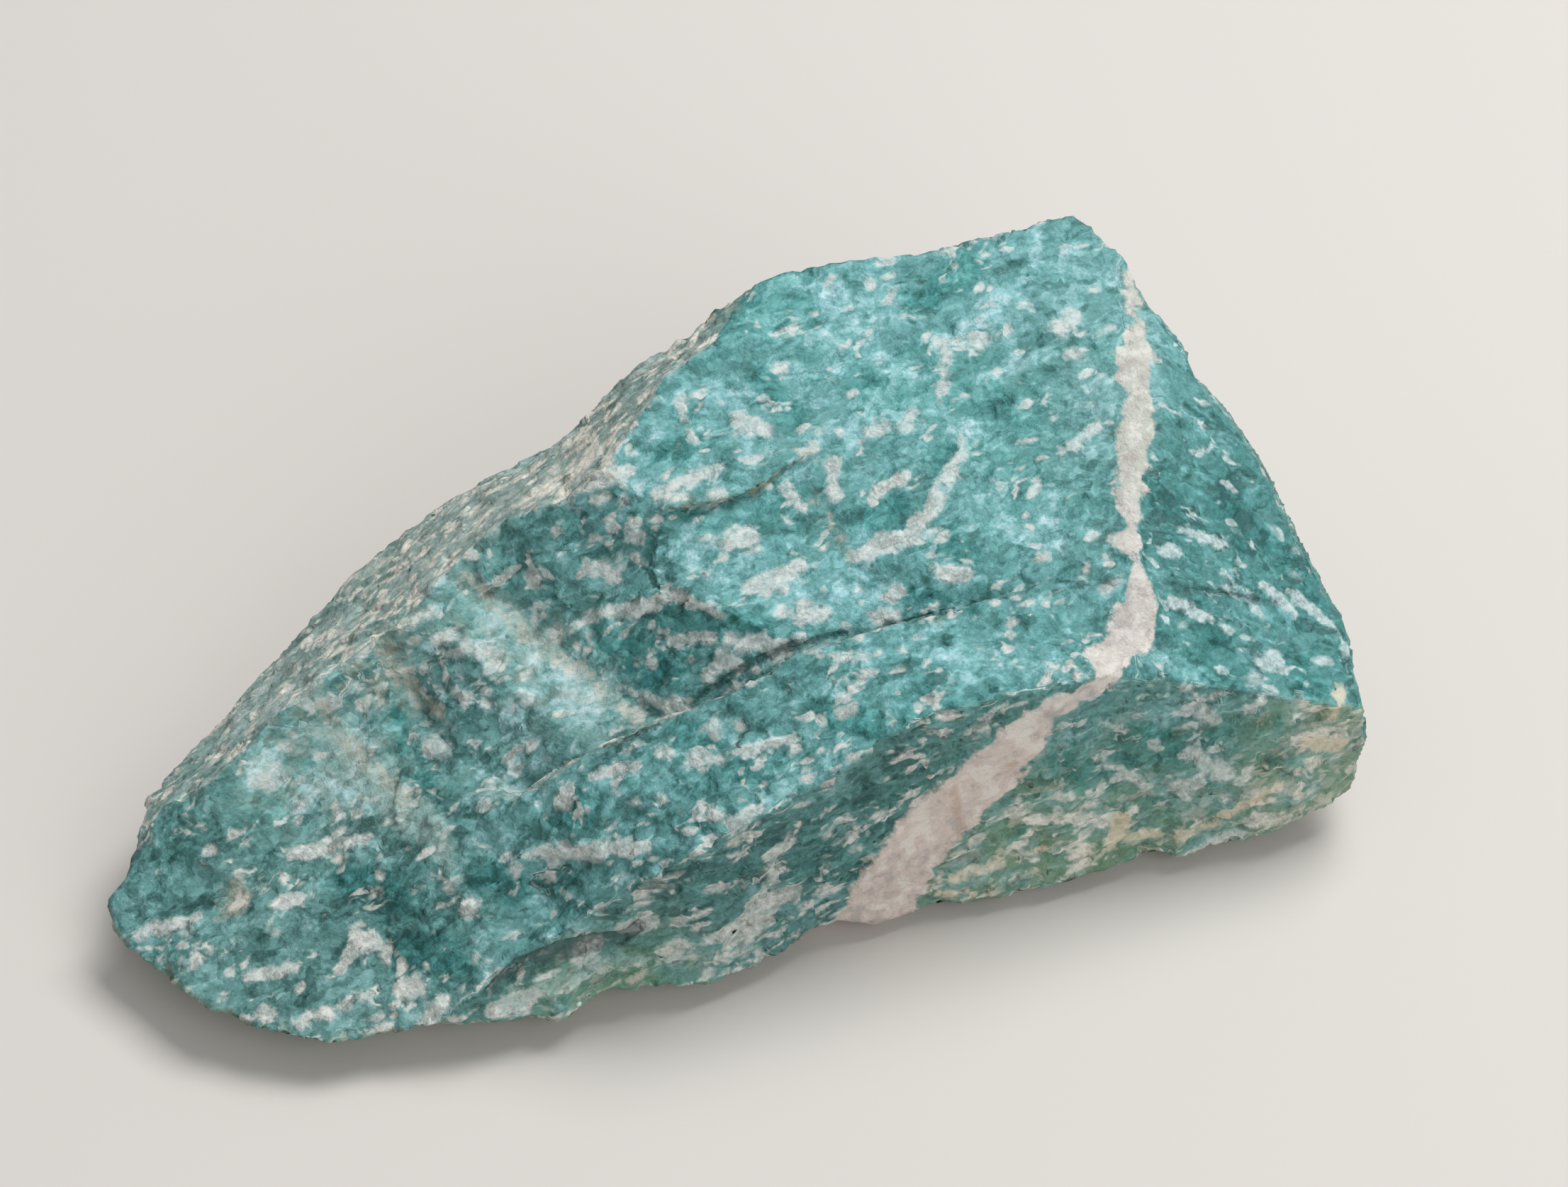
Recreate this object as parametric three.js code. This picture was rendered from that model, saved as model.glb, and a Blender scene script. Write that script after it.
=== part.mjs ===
// A rough piece of amazonite: one broken lump of feldspar with a sloping cleavage face on top,
// a staircase of small treads down to a thin tip, a hackly front and a small flat spot below.
// Millimetres, +Z up. The origin is under the middle of the stone, on the face it rests on.
import * as THREE from 'three';

// Driving dimensions
const EDGE_LIMIT = 2.8;         // longest triangle edge of the finished surface
const ROUNDS = 14;              // rounds of cutting before the last one
const ROUND_STEP = 1.25;        // how much shorter the longest edge gets with each
const TURN_MARGIN = 0.01;       // radians past a straight angle before an edge is turned
const LUMP_SIZE = 7.0;          // distance between the broad swells of the broken faces
const LUMP_HEIGHT = 0.35;       // how far they swell
const CHIP_SIZE = 2.4;          // distance between the small chips
const CHIP_HEIGHT = 0.22;       // how deep they are
const REST_FADE = 2.0;          // height over which the relief fades in above the flat spot
const STONE_COLOUR = 0x4f9f9b;
const STONE_ROUGHNESS = 0.7;

const WHOLE = -1;               // stands for the middle of an edge that isn't halved
const LEVEL = 1e-6;             // squared length under which a direction counts as none
// Large whole numbers that scramble a grid point, and half the range of the scrambled result
const SCRAMBLE = [374761393, 668265263, 873357470];
const SCRAMBLE_AGAIN = 1274126177;
const HALF_RANGE = 2147483647.5;

// Corners of the broken faces, by the edge that they lie on. Each edge is named once and its
// corners are numbered from 1, so that 'ridge3' is the third corner of the ridge.
const edges = {
  // highest edge, at the back, from the ridge round to the vein
  rim: [
    [1, 15, 30], [4.5, 16, 30], [13, 18, 30], [18.5, 20, 30.5], [22, 21, 30.5], [25.5, 18.5, 29],
    [26, 16.5, 28],
  ],
  // where the white vein parts the top from the right-hand slope
  vein: [[27, 15, 27], [27.5, 10.5, 26], [27, 5.5, 24], [25.5, 0.5, 22.5], [25.5, -3, 21]],
  // outer edge of the right-hand slope, going down and forward
  right: [
    [29, 14, 25.5], [30.5, 10.5, 23.5], [32, 10, 22], [34.5, 6.5, 19], [38, 1.5, 15],
    [39.5, -0.5, 13.5], [39, -2.5, 14], [40, -4, 12.5], [40.5, -6.5, 11],
  ],
  fold: [[33.5, -2, 16.5]],
  // front edge of the right-hand slope, above the steep front
  shelf: [[23.5, -10, 17.5], [28, -9, 16], [33, -8, 14], [38.5, -7, 12]],
  // ridge between the top and the grey-green side, down to the tip
  ridge: [
    [-0.5, 13, 29.5], [-2, 9.5, 29], [-5, 7, 28], [-7, 4, 27], [-9, 0.5, 26], [-11.5, -0.5, 24],
    [-15.5, 0, 22], [-18.5, -1.5, 20], [-21, -4, 18.5], [-22.5, -5.5, 17.5], [-24, -5.5, 16.5],
    [-28, -8, 14.5], [-31, -9.5, 12.5], [-34.5, -13, 10.5], [-37.5, -13, 8.5],
  ],
  // outer edge of the grey-green side
  side: [
    [-2, 13.5, 28.5], [-5.5, 13, 25.5], [-8.5, 11.5, 24], [-12.5, 8, 21.5], [-15.5, 7, 19.5],
    [-20, 9, 15.5], [-23.5, 7, 14], [-26.5, 5, 12], [-29.5, 2, 10.5], [-32.5, -1, 9], [-36, -5.5, 7],
    [-39, -10.5, 6.5],
  ],
  // the thin slab on top, and the ledge under its front edge
  step: [[0, 7, 26.5], [2, 4.5, 26], [4, 3, 25]],
  slab: [[0.5, 0, 24.5], [-3.5, -1.5, 24.5], [-5, -2, 24.5], [-7.5, -0.5, 25]],
  under: [[0.5, 0.5, 23.8], [-3.5, -1, 23.8]],
  wedge: [[7, -3.5, 21.5], [11, -4, 22], [9.5, -5, 20.5]],
  scoop: [[-5, -2.5, 23], [-4.5, -5.5, 21.5], [-2, -7, 21], [1.5, -8.5, 20]],
  // treads of the staircase: inner corner first, then the outer edge of each
  band: [[-15.5, -3.5, 18], [-12, -6, 16.5], [-8.5, -9, 15]],
  bandEdge: [[-18, -7, 17], [-13.5, -10.5, 15]],
  tread: [[-22, -6.5, 14], [-21, -8, 12.5], [-18.5, -11.5, 11.5]],
  treadEdge: [[-24, -7, 14], [-22, -9, 12.5]],
  line: [[-27, -9, 12], [-24.5, -11.5, 10.5], [-21.5, -15, 10]],
  // long crack across the front, its floor behind the raised lip
  lip: [
    [25.5, -4, 20.5], [19.5, -5, 21], [14, -7, 21], [8, -9, 20.5], [3.5, -10.5, 20],
    [-0.5, -12.5, 18.5], [-5, -13.5, 17], [-10, -15.5, 15.5], [-14.5, -17, 13],
  ],
  floor: [
    [14, -6, 20], [8, -8, 19.5], [3.5, -9, 18.5], [-0.5, -11, 16.5], [-5, -11, 14.5],
    [-9.5, -13.5, 14], [-14, -14.5, 11.5],
  ],
  // upper edge of the steep front
  brow: [
    [21.5, -11.5, 18.5], [16.5, -13, 18.5], [12, -14.5, 18.5], [9, -16, 18], [5, -18, 16],
    [0.5, -20, 14.5], [-3.5, -21.5, 13], [-10, -23, 9], [-15, -25, 6],
  ],
  // low left end: a shallow pocket and the swells between it, the tip and the front
  pocket: [[-29.5, -13, 8.5]],
  swell: [[-32, -18.5, 6.5], [-23, -21.5, 7], [-18.5, -17.5, 11]],
  // dark notch in the face below the lip
  notch: [[-13, -19.5, 11.5], [-6, -20.5, 13], [-12.5, -20.5, 8.5]],
  // lowest visible edge, from the right-hand corner round the front to the tip
  heel: [
    [41, -6, 7.5], [40.5, -6.5, 3.5], [36, -8.5, 2], [31.5, -10, 1.5], [26, -11, 1.5],
    [21, -13, 1.5], [16.5, -14, 1.5], [12, -15, 1.5], [8.5, -16.5, 1.5], [6, -17, 2.5],
  ],
  toe: [
    [2.5, -19.5, 2], [-2.5, -22.5, 2], [-6, -23, 2.5], [-8.5, -23.5, 3], [-12, -25.5, 2.5],
    [-16, -26.5, 3], [-20, -27.5, 3.5],
  ],
  nose: [
    [-23, -27.5, 3], [-25.5, -28.5, 3], [-30, -28, 3.5], [-35, -25.5, 4], [-38.5, -22, 4],
    [-40.5, -19.5, 4], [-41, -18.5, 5], [-39.5, -16, 6],
  ],
  // the back: a ledge half way up and the widest part below it
  ledge: [[-9, 16.5, 16], [5, 18, 17], [15.5, 25, 20], [26, 21.5, 15.5], [34, 15, 16.5]],
  waist: [
    [-38.5, -9.5, 3], [-33.5, 1.5, 5], [-26.5, 9, 4.5], [-17.5, 15.5, 7], [-6.5, 21, 8.5],
    [5.5, 24.5, 6], [17.5, 28.5, 9.5], [28, 26, 8], [36, 16.5, 6], [40, 6.5, 7.5], [41, -1.5, 6],
  ],
  // corners of the broken underside, and the outline of the flat spot that the stone rests on
  belly: [[-33, -17, 1.5], [-28, -3, 2], [-14, 12, 3], [4, 21.5, 2.5], [23, 23, 3], [36, 10, 2]],
  foot: [
    [-24, -10, 0], [-21, -19, 0], [-12, -19.5, 0], [0, -14.5, 0], [13, -9.5, 0], [26, -6.5, 0],
    [33, -2, 0], [31, 9, 0], [22, 16, 0], [8, 15.5, 0], [-6, 10, 0], [-17, 1, 0],
  ],
};

// Faces of the stone, each a loop of corners, anticlockwise seen from outside. 'ridge2-5' means
// ridge2 ridge3 ridge4 ridge5, and 'rim7-2' runs the other way.
const faces = [
  // top and the thin slab on it
  'rim1 ridge1-2 step1-3 wedge1-2 floor1 lip2-1 vein5-1 rim7-2',
  'ridge2-5 slab4-1 step3-1',
  'slab3 under2-1 step3 slab1-2',
  'wedge1 wedge3 floor1 wedge2',
  // scooped tread, its dark riser, and the staircase down to the left
  'slab3 scoop1-4 floor3-1 wedge3 wedge1 step3 under1-2',
  'ridge5-8 band1-2 scoop1 slab3-4',
  'ridge8-9 band1',
  'scoop1 band2 scoop2',
  'band2-3 floor5-3 scoop4-2',
  'ridge9 bandEdge1-2 floor6-5 band3-1',
  'ridge9-10 tread1-3 floor7-6 bandEdge2-1',
  'ridge10-11 treadEdge1-2 tread3-1',
  'ridge11-12 line1-3 tread3 treadEdge2-1',
  // crack floor up to the lip
  'floor1-2 lip4-2',
  'floor2-3 lip5-4',
  'floor3-4 lip6-5',
  'floor4-5 lip7-6',
  'floor5-6 lip8-7',
  'floor6-7 lip9-8',
  // low left end
  'ridge12-13 pocket1 line1',
  'ridge13-15 nose8-7 swell1 pocket1',
  'swell1 nose7-3',
  'pocket1 swell1 nose3-2 swell2',
  'line1 pocket1 swell2-3 line3-2',
  // front: below the lip, the steep front and its right-hand part
  'lip6 brow4-1 shelf1 lip1-5',
  'lip6-9 floor7 tread3 line3 swell3 notch1-2 brow7-4',
  'notch1 notch3 brow8-7 notch2',
  'swell3-2 nose2-1 toe7 brow9-8 notch3 notch1',
  'brow9 toe7-1 heel10 brow1-8',
  'brow1 heel10-1 right9 shelf4-1',
  // right-hand slope, in two panes
  'lip1 shelf1-4 right9-6 fold1',
  'vein1-5 lip1 fold1 right6-1',
  // grey-green side
  'rim1 side1-12 nose8 ridge15-1',
  // back
  'side12-9 waist3-1',
  'side9-6 waist4-3',
  'side6-3 ledge1 waist5-4',
  'side3-1 rim1 ledge2-1',
  'ledge1-2 waist6-5',
  'rim1-3 ledge3-2',
  'ledge2-3 waist7-6',
  'rim3-5 ledge4-3',
  'ledge3-4 waist8-7',
  'rim5-7 vein1 right1-2 ledge5-4',
  'ledge4-5 waist9-8',
  'right2-4 waist10-9 ledge5',
  'right4-9 heel1 waist11-10',
  // underside, from the lowest edges in to the flat spot
  'nose8 side12 waist1',
  'nose6-8 waist1 belly2-1',
  'nose3-6 belly1 foot2',
  'belly1-2 foot1-2',
  'toe7 nose1-3 foot2',
  'toe5-7 foot2-3',
  'toe2-5 foot3-4',
  'heel10 toe1-2 foot4',
  'heel7-10 foot4-5',
  'heel4-7 foot5-6',
  'heel2-4 foot6-7',
  'waist10-11 heel1-2 foot7 belly6',
  'belly6 foot7-8',
  'waist8-10 belly6-5',
  'belly5-6 foot8-9',
  'waist6-8 belly5-4',
  'belly4-5 foot9-10',
  'waist4-6 belly4-3',
  'belly3-4 foot10-11',
  'waist1-4 belly3-2',
  'belly2-3 foot11-12 foot1',
  'foot12-1',
];

// 'ridge2-5 step1' becomes ['ridge2', 'ridge3', 'ridge4', 'ridge5', 'step1'].
function cornerNames(loop) {
  return loop.split(' ').flatMap((word) => {
    const [, edge, first, last = first] = word.match(/^([a-zA-Z]+)(\d+)(?:-(\d+))?$/);
    const from = Number(first);
    const to = Number(last);
    const turn = Math.sign(to - from) || 1;
    const count = Math.abs(to - from) + 1;
    return Array.from({ length: count }, (_, i) => edge + (from + turn * i));
  });
}

// All corners in one list, and the place in that list of each corner's name.
function numberCorners() {
  const points = [];
  const placeOf = new Map();
  for (const [edge, corners] of Object.entries(edges)) {
    corners.forEach((corner, i) => {
      placeOf.set(edge + (i + 1), points.length);
      points.push(new THREE.Vector3(...corner));
    });
  }
  return { points, placeOf };
}

// Area-weighted normal of a loop that may be slightly bent.
function loopNormal(loop, points) {
  const normal = new THREE.Vector3();
  loop.forEach((corner, i) => {
    const here = points[corner];
    const next = points[loop[(i + 1) % loop.length]];
    normal.add(new THREE.Vector3().crossVectors(here, next));
  });
  return normal.normalize();
}

// Cuts one loop into triangles, flattened on the plane that it faces. Each triangle is three
// corners and the number of its face.
function fillLoop(loop, face, points) {
  const normal = loopNormal(loop, points);
  const across = new THREE.Vector3(0, 0, 1).cross(normal);
  if (across.lengthSq() < LEVEL) across.set(1, 0, 0);
  across.normalize();
  const along = new THREE.Vector3().crossVectors(normal, across);
  const flat = loop.map((corner) => points[corner])
    .map((point) => new THREE.Vector2(point.dot(across), point.dot(along)));
  const triangles = THREE.ShapeUtils.triangulateShape(flat, []);
  return triangles.map((triangle) => [...triangle.map((i) => loop[i]), face]);
}

// One triangle with up to three of its edges halved at the points ab, bc and ca.
function splitTriangle(a, b, c, ab, bc, ca) {
  const halved = [ab, bc, ca].filter((point) => point !== WHOLE).length;
  if (halved === 0) return [[a, b, c]];
  if (halved === 3) return [[a, ab, ca], [ab, b, bc], [ca, bc, c], [ab, bc, ca]];
  if (halved === 1) {
    if (ab !== WHOLE) return [[a, ab, c], [ab, b, c]];
    if (bc !== WHOLE) return [[b, bc, a], [bc, c, a]];
    return [[c, ca, b], [ca, a, b]];
  }
  if (ab === WHOLE) return [[c, ca, bc], [ca, a, bc], [a, b, bc]];
  if (bc === WHOLE) return [[a, ab, ca], [ab, b, ca], [b, c, ca]];
  return [[b, bc, ab], [bc, c, ab], [c, a, ab]];
}

// Halves every edge longer than the limit, in both triangles that share it.
function splitLongEdges(points, triangles, limit) {
  const middles = new Map();
  const middle = (a, b) => {
    if (points[a].distanceTo(points[b]) <= limit) return WHOLE;
    const key = Math.min(a, b) + ' ' + Math.max(a, b);
    if (!middles.has(key)) {
      middles.set(key, points.length);
      points.push(new THREE.Vector3().lerpVectors(points[a], points[b], 0.5));
    }
    return middles.get(key);
  };
  return triangles.flatMap(([a, b, c, face]) => {
    const pieces = splitTriangle(a, b, c, middle(a, b), middle(b, c), middle(c, a));
    return pieces.map((piece) => [...piece, face]);
  });
}

// Angle at `tip` of the triangle that it makes with the edge from `a` to `b`.
function angleAt(tip, a, b) {
  return new THREE.Vector3().subVectors(a, tip).angleTo(new THREE.Vector3().subVectors(b, tip));
}

// Turns each inner edge of a face that would be better off as the other diagonal of its two
// triangles, so that none of them stay thin. Gives back how many it turned.
function turnThinEdges(points, triangles) {
  const sideOf = new Map();
  triangles.forEach((triangle, index) => {
    for (let i = 0; i < 3; i += 1) sideOf.set(triangle[i] + ' ' + triangle[(i + 1) % 3], index);
  });
  const touched = new Set();
  let turned = 0;
  triangles.forEach((triangle, index) => {
    for (let i = 0; i < 3 && !touched.has(index); i += 1) {
      const [a, b, tip] = [triangle[i], triangle[(i + 1) % 3], triangle[(i + 2) % 3]];
      const other = sideOf.get(b + ' ' + a);
      const face = triangle[3];
      if (touched.has(other) || triangles[other][3] !== face) continue;
      const far = triangles[other].slice(0, 3).find((corner) => corner !== a && corner !== b);
      const angles = [tip, far].map((corner) => angleAt(points[corner], points[a], points[b]));
      if (angles[0] + angles[1] < Math.PI + TURN_MARGIN || sideOf.has(tip + ' ' + far)) continue;
      if (sideOf.has(far + ' ' + tip)) continue;
      triangles[index] = [tip, a, far, face];
      triangles[other] = [far, b, tip, face];
      [index, other].forEach((changed) => touched.add(changed));
      turned += 1;
    }
  });
  return turned;
}

// Cuts the faces down to small, even triangles, in rounds of ever shorter edges.
function refine(points, triangles) {
  let fine = triangles;
  for (let round = ROUNDS; round >= 0; round -= 1) {
    fine = splitLongEdges(points, fine, EDGE_LIMIT * ROUND_STEP ** round);
    while (turnThinEdges(points, fine) > 0);
  }
  return fine;
}

// Repeatable number from -1 to 1 for each point of a whole-number grid.
function gridValue(x, y, z) {
  const sum = [x, y, z].reduce((total, step, axis) => total + Math.imul(step, SCRAMBLE[axis]), 0);
  const mixed = Math.imul(sum ^ (sum >>> 13), SCRAMBLE_AGAIN);
  return ((mixed ^ (mixed >>> 16)) >>> 0) / HALF_RANGE - 1;
}

// Smooth relief from -1 to 1 with one swell about every `size` millimetres.
function relief(point, size) {
  const base = point.clone().divideScalar(size).floor();
  const offset = point.clone().divideScalar(size).sub(base);
  const weights = offset.toArray().map((t) => THREE.MathUtils.smoothstep(t, 0, 1));
  let total = 0;
  for (const dx of [0, 1]) {
    for (const dy of [0, 1]) {
      for (const dz of [0, 1]) {
        const shares = [dx, dy, dz].map((d, axis) => (d ? weights[axis] : 1 - weights[axis]));
        const value = gridValue(base.x + dx, base.y + dy, base.z + dz);
        total += value * shares[0] * shares[1] * shares[2];
      }
    }
  }
  return total;
}

// Swells and chips of the broken surface, pushed along each point's own normal.
function roughen(geometry) {
  geometry.computeVertexNormals();
  const places = geometry.attributes.position;
  const normals = geometry.attributes.normal;
  for (let i = 0; i < places.count; i += 1) {
    const place = new THREE.Vector3().fromBufferAttribute(places, i);
    const normal = new THREE.Vector3().fromBufferAttribute(normals, i);
    const fade = Math.min(1, place.z / REST_FADE);
    const height = LUMP_HEIGHT * relief(place, LUMP_SIZE) + CHIP_HEIGHT * relief(place, CHIP_SIZE);
    place.addScaledVector(normal, fade * height);
    places.setXYZ(i, place.x, place.y, Math.max(0, place.z));
  }
}

// Puts the origin under the middle of the stone.
function centreOverOrigin(geometry) {
  geometry.computeBoundingBox();
  const middle = geometry.boundingBox.getCenter(new THREE.Vector3());
  geometry.translate(-middle.x, -middle.y, -geometry.boundingBox.min.z);
}

function makeStone() {
  const { points, placeOf } = numberCorners();
  const loops = faces.map((loop) => cornerNames(loop).map((name) => placeOf.get(name)));
  const triangles = refine(points, loops.flatMap((loop, face) => fillLoop(loop, face, points)));
  const geometry = new THREE.BufferGeometry().setFromPoints(points);
  geometry.setIndex(triangles.flatMap(([a, b, c]) => [a, b, c]));
  roughen(geometry);
  centreOverOrigin(geometry);
  const material = new THREE.MeshStandardMaterial({
    color: STONE_COLOUR,
    roughness: STONE_ROUGHNESS,
    metalness: 0,
  });
  const stone = new THREE.Mesh(geometry, material);
  stone.name = 'amazonite';
  return stone;
}

const part = new THREE.Group();
part.add(makeStone());

export default part;
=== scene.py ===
"""Looks of a rough piece of amazonite: broken surface, mottled teal stone, white vein.

Sizes, places and distances are in millimetres unless a name says otherwise. Places are in the
row frame, with the stone's right-hand end towards +X and its back towards +Y.
"""
import math

import bmesh
import bpy
import numpy as np
from mathutils import Color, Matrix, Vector, noise
from mathutils.bvhtree import BVHTree


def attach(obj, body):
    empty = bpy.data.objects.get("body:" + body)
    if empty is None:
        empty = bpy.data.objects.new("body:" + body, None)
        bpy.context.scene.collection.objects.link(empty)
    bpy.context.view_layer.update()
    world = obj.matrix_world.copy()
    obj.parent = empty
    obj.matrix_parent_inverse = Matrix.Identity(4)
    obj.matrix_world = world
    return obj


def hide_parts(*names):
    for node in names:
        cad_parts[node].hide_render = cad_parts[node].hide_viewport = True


MM = 0.001
NODE = "amazonite"

# Camera and light, in millimetres and degrees
CAMERA_LENS = 100.0
CAMERA_SENSOR = 36.0
CAMERA_TILT = 43.0
CAMERA_REACH = 310.0
CAMERA_AIM = (2.6, 16.5, 0.0)
KEY_PLACE = (220.0, 200.0, 550.0)
KEY_SIZE = 350.0
KEY_WATTS = 3.4
FILL_PLACE = (260.0, -420.0, 300.0)
FILL_SIZE = 400.0
FILL_WATTS = 1.25
WORLD_STRENGTH = 0.33
FLOOR_HALF = 2000.0

# Mesh of the stone
CUT_LEVELS = 3                 # makes 3 quads of each CAD triangle, then twice 4 of each quad
MOST_TRIANGLES = 190000
WELD = 0.01                    # corners nearer to each other than this become one
REST_HEIGHT = 0.8              # relief fades out below this height, towards the flat spot

# The crystal: its perfect cleavage is parallel to the top, and the flecks lie along it
CLEAVAGE = Vector((0.083, -0.358, 0.930)).normalized()
FIBRE = Vector((0.87, 0.46, 0.17)).normalized()
FIBRE_STRETCH = 1.5
# Right of the vein the flecks run down the slope: for each millimetre down it, the place in the
# pattern moves by this push
SLOPE_RUN = Vector((0.70, -0.36, -0.62)).normalized()
SLOPE_PUSH = (-0.4075, 0.0, 0.0)
SLOPE_START = 25.2
SLOPE_FACING = 0.5
# On the front they are drawn out further
FRONT_STRETCH = 2.0
FRONT_FACING = -0.8

# Tones by region: place, facing, reach, then depth, fleck, warm, moss, grey and rough from 0 to 1.
# depth runs from milky to dark teal, fleck is how many cream flecks there are, warm is beige
# stain, moss the green and ochre weathering, grey the dull side of the stone, rough the relief.
TONES = ("depth", "fleck", "warm", "moss", "grey", "rough")
ZONES = [
    ((12, 8, 26), (0.08, -0.36, 0.93), 9, (0.34, 0.36, 0.0, 0.0, 0.0, 0.25)),
    ((21, 8, 25), (0.08, -0.36, 0.93), 7, (0.40, 0.40, 0.0, 0.0, 0.2, 0.35)),
    ((15, 17, 29), (0.08, -0.36, 0.93), 7, (0.45, 0.35, 0.0, 0.0, 0.0, 0.30)),
    ((9, 1, 24), (0.08, -0.36, 0.93), 3, (0.72, 0.15, 0.0, 0.0, 0.0, 0.10)),
    ((-4, 3, 26), (0.15, -0.36, 0.92), 6, (0.48, 0.36, 0.0, 0.0, 0.0, 0.20)),
    ((0, -4, 22), (0.08, -0.38, 0.92), 5, (0.49, 0.48, 0.0, 0.0, 0.0, 0.20)),
    ((-8, -4, 21), (-0.25, -0.72, 0.65), 7, (0.56, 0.62, 0.0, 0.0, 0.1, 0.80)),
    ((-12, -7, 16), (0.10, -0.36, 0.93), 6, (0.22, 0.45, 0.40, 0.0, 0.3, 0.20)),
    ((-17, -9, 15), (-0.30, -0.60, 0.74), 6, (0.44, 0.70, 0.0, 0.0, 0.2, 0.90)),
    ((-23, -7, 15), (0.05, -0.70, 0.72), 3, (0.40, 0.50, 0.4, 0.0, 0.3, 0.50)),
    ((-27, -11, 10), (0.0, -0.50, 0.86), 4, (0.18, 0.60, 0.35, 0.0, 0.2, 0.50)),
    ((-29, -20, 7), (-0.1, -0.30, 0.95), 8, (0.60, 0.38, 0.0, 0.0, 0.35, 0.70)),
    ((-38, -19, 5), (-0.3, -0.40, 0.86), 4, (0.50, 0.45, 0.0, 0.0, 0.2, 0.60)),
    ((-6, -17, 15), (-0.2, -0.50, 0.85), 8, (0.52, 0.50, 0.0, 0.0, 0.1, 0.70)),
    ((14, -10, 20), (0.09, -0.30, 0.95), 7, (0.55, 0.55, 0.0, 0.0, 0.0, 0.45)),
    ((4, -18, 11), (0.36, -0.93, 0.07), 9, (0.62, 0.75, 0.0, 0.0, 0.35, 0.90)),
    ((-7, -22, 9), (0.20, -0.97, 0.10), 6, (0.66, 0.50, 0.0, 0.0, 0.35, 0.70)),
    ((-7, -24, 3), (0.20, -0.95, 0.20), 4, (0.44, 0.40, 0.0, 0.9, 0.20, 0.80)),
    ((25, -10, 11), (0.30, -0.95, 0.08), 8, (0.45, 0.50, 0.0, 0.1, 0.2, 0.80)),
    ((38, -8, 8), (0.33, -0.94, 0.07), 5, (0.34, 0.55, 0.3, 0.7, 0.2, 0.70)),
    ((21, -13, 3), (0.30, -0.95, 0.10), 7, (0.42, 0.50, 0.2, 0.9, 0.2, 0.80)),
    ((32, 3, 19), (0.53, -0.31, 0.79), 9, (0.74, 0.33, 0.0, 0.0, 0.0, 0.40)),
    ((32, -6, 15), (0.45, -0.38, 0.81), 6, (0.57, 0.36, 0.0, 0.0, 0.0, 0.40)),
    ((-16, 5, 19), (-0.60, 0.20, 0.78), 12, (0.10, 0.85, 0.2, 0.0, 0.8, 0.30)),
    ((-30, -4, 12), (-0.60, 0.20, 0.78), 8, (0.14, 0.80, 0.1, 0.0, 0.7, 0.30)),
    ((0, 22, 14), (-0.10, 0.90, 0.40), 16, (0.62, 0.50, 0.1, 0.1, 0.3, 0.60)),
    ((32, 18, 12), (0.70, 0.60, 0.40), 12, (0.58, 0.50, 0.1, 0.15, 0.25, 0.45)),
    ((-25, 8, 5), (-0.60, 0.70, 0.20), 12, (0.56, 0.50, 0.2, 0.3, 0.6, 0.60)),
    ((5, 0, 0), (0.0, 0.0, -1.0), 30, (0.45, 0.40, 0.4, 0.7, 0.4, 0.70)),
]
ZONE_TURN = 0.12               # how far a facing may differ, as one minus the cosine
FACING_REACH = 2.5             # bumps smaller than this don't change the facing
FACING_ROUNDS = 3
ROWS_AT_ONCE = 500             # keeps the tables of pairs of triangles small
MOST_APART = 60                # the distance and the turn in a zone's weight stop at these
MOST_UNLIKE = 8
LEAST_WEIGHT = 1e-12
FADE_WEIGHT = 1e-9             # where all the zones weigh less than this, the tones fade to 0

# White vein: from the back rim over the top, down the front, under the stone and up the back.
# Place and half width
VEIN = [
    (25.6, 17.2, 28.2, 0.3), (26.0, 15.2, 27.4, 0.4), (26.2, 13.5, 26.8, 0.4),
    (26.0, 11.8, 26.4, 0.4), (25.6, 10.3, 26.1, 1.5),
    (25.8, 8.5, 25.5, 0.5), (25.9, 6.8, 24.8, 1.2), (25.4, 4.8, 24.0, 1.1),
    (25.0, 2.9, 23.3, 1.0), (25.0, 1.3, 22.8, 0.8), (25.2, -0.3, 22.2, 0.4),
    (24.7, -1.8, 21.6, 1.2), (25.4, -3.1, 21.0, 0.3), (25.4, -5.2, 19.8, 1.5),
    (24.6, -7.4, 18.7, 1.4), (23.4, -8.4, 18.2, 1.2), (21.9, -10.5, 17.2, 1.3),
    (19.6, -12.3, 16.4, 1.4), (17.5, -12.9, 14.1, 1.8), (15.4, -13.4, 11.6, 2.2),
    (12.5, -14.6, 9.0, 2.4), (10.3, -15.6, 6.2, 2.4), (9.2, -16.0, 3.6, 2.7),
    (8.5, -16.6, 1.6, 2.8), (5.1, -15.1, 1.2, 2.4), (2.3, -10.4, 0.0, 2.2),
    (0.5, -4.6, 0.0, 1.8), (-1.3, 1.1, 0.0, 1.9), (-3.1, 6.8, 0.0, 1.5),
    (-4.0, 12.5, 0.7, 1.9), (-3.1, 18.0, 2.9, 1.8), (-0.7, 22.3, 6.2, 1.6),
    (3.5, 22.0, 9.7, 1.6), (7.8, 22.4, 13.5, 1.4), (12.1, 23.5, 17.5, 1.6),
    (16.3, 24.1, 21.4, 1.3), (20.7, 21.6, 24.5, 1.3), (24.9, 19.0, 27.4, 0.7),
    (25.6, 17.2, 28.2, 0.3),
]
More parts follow.
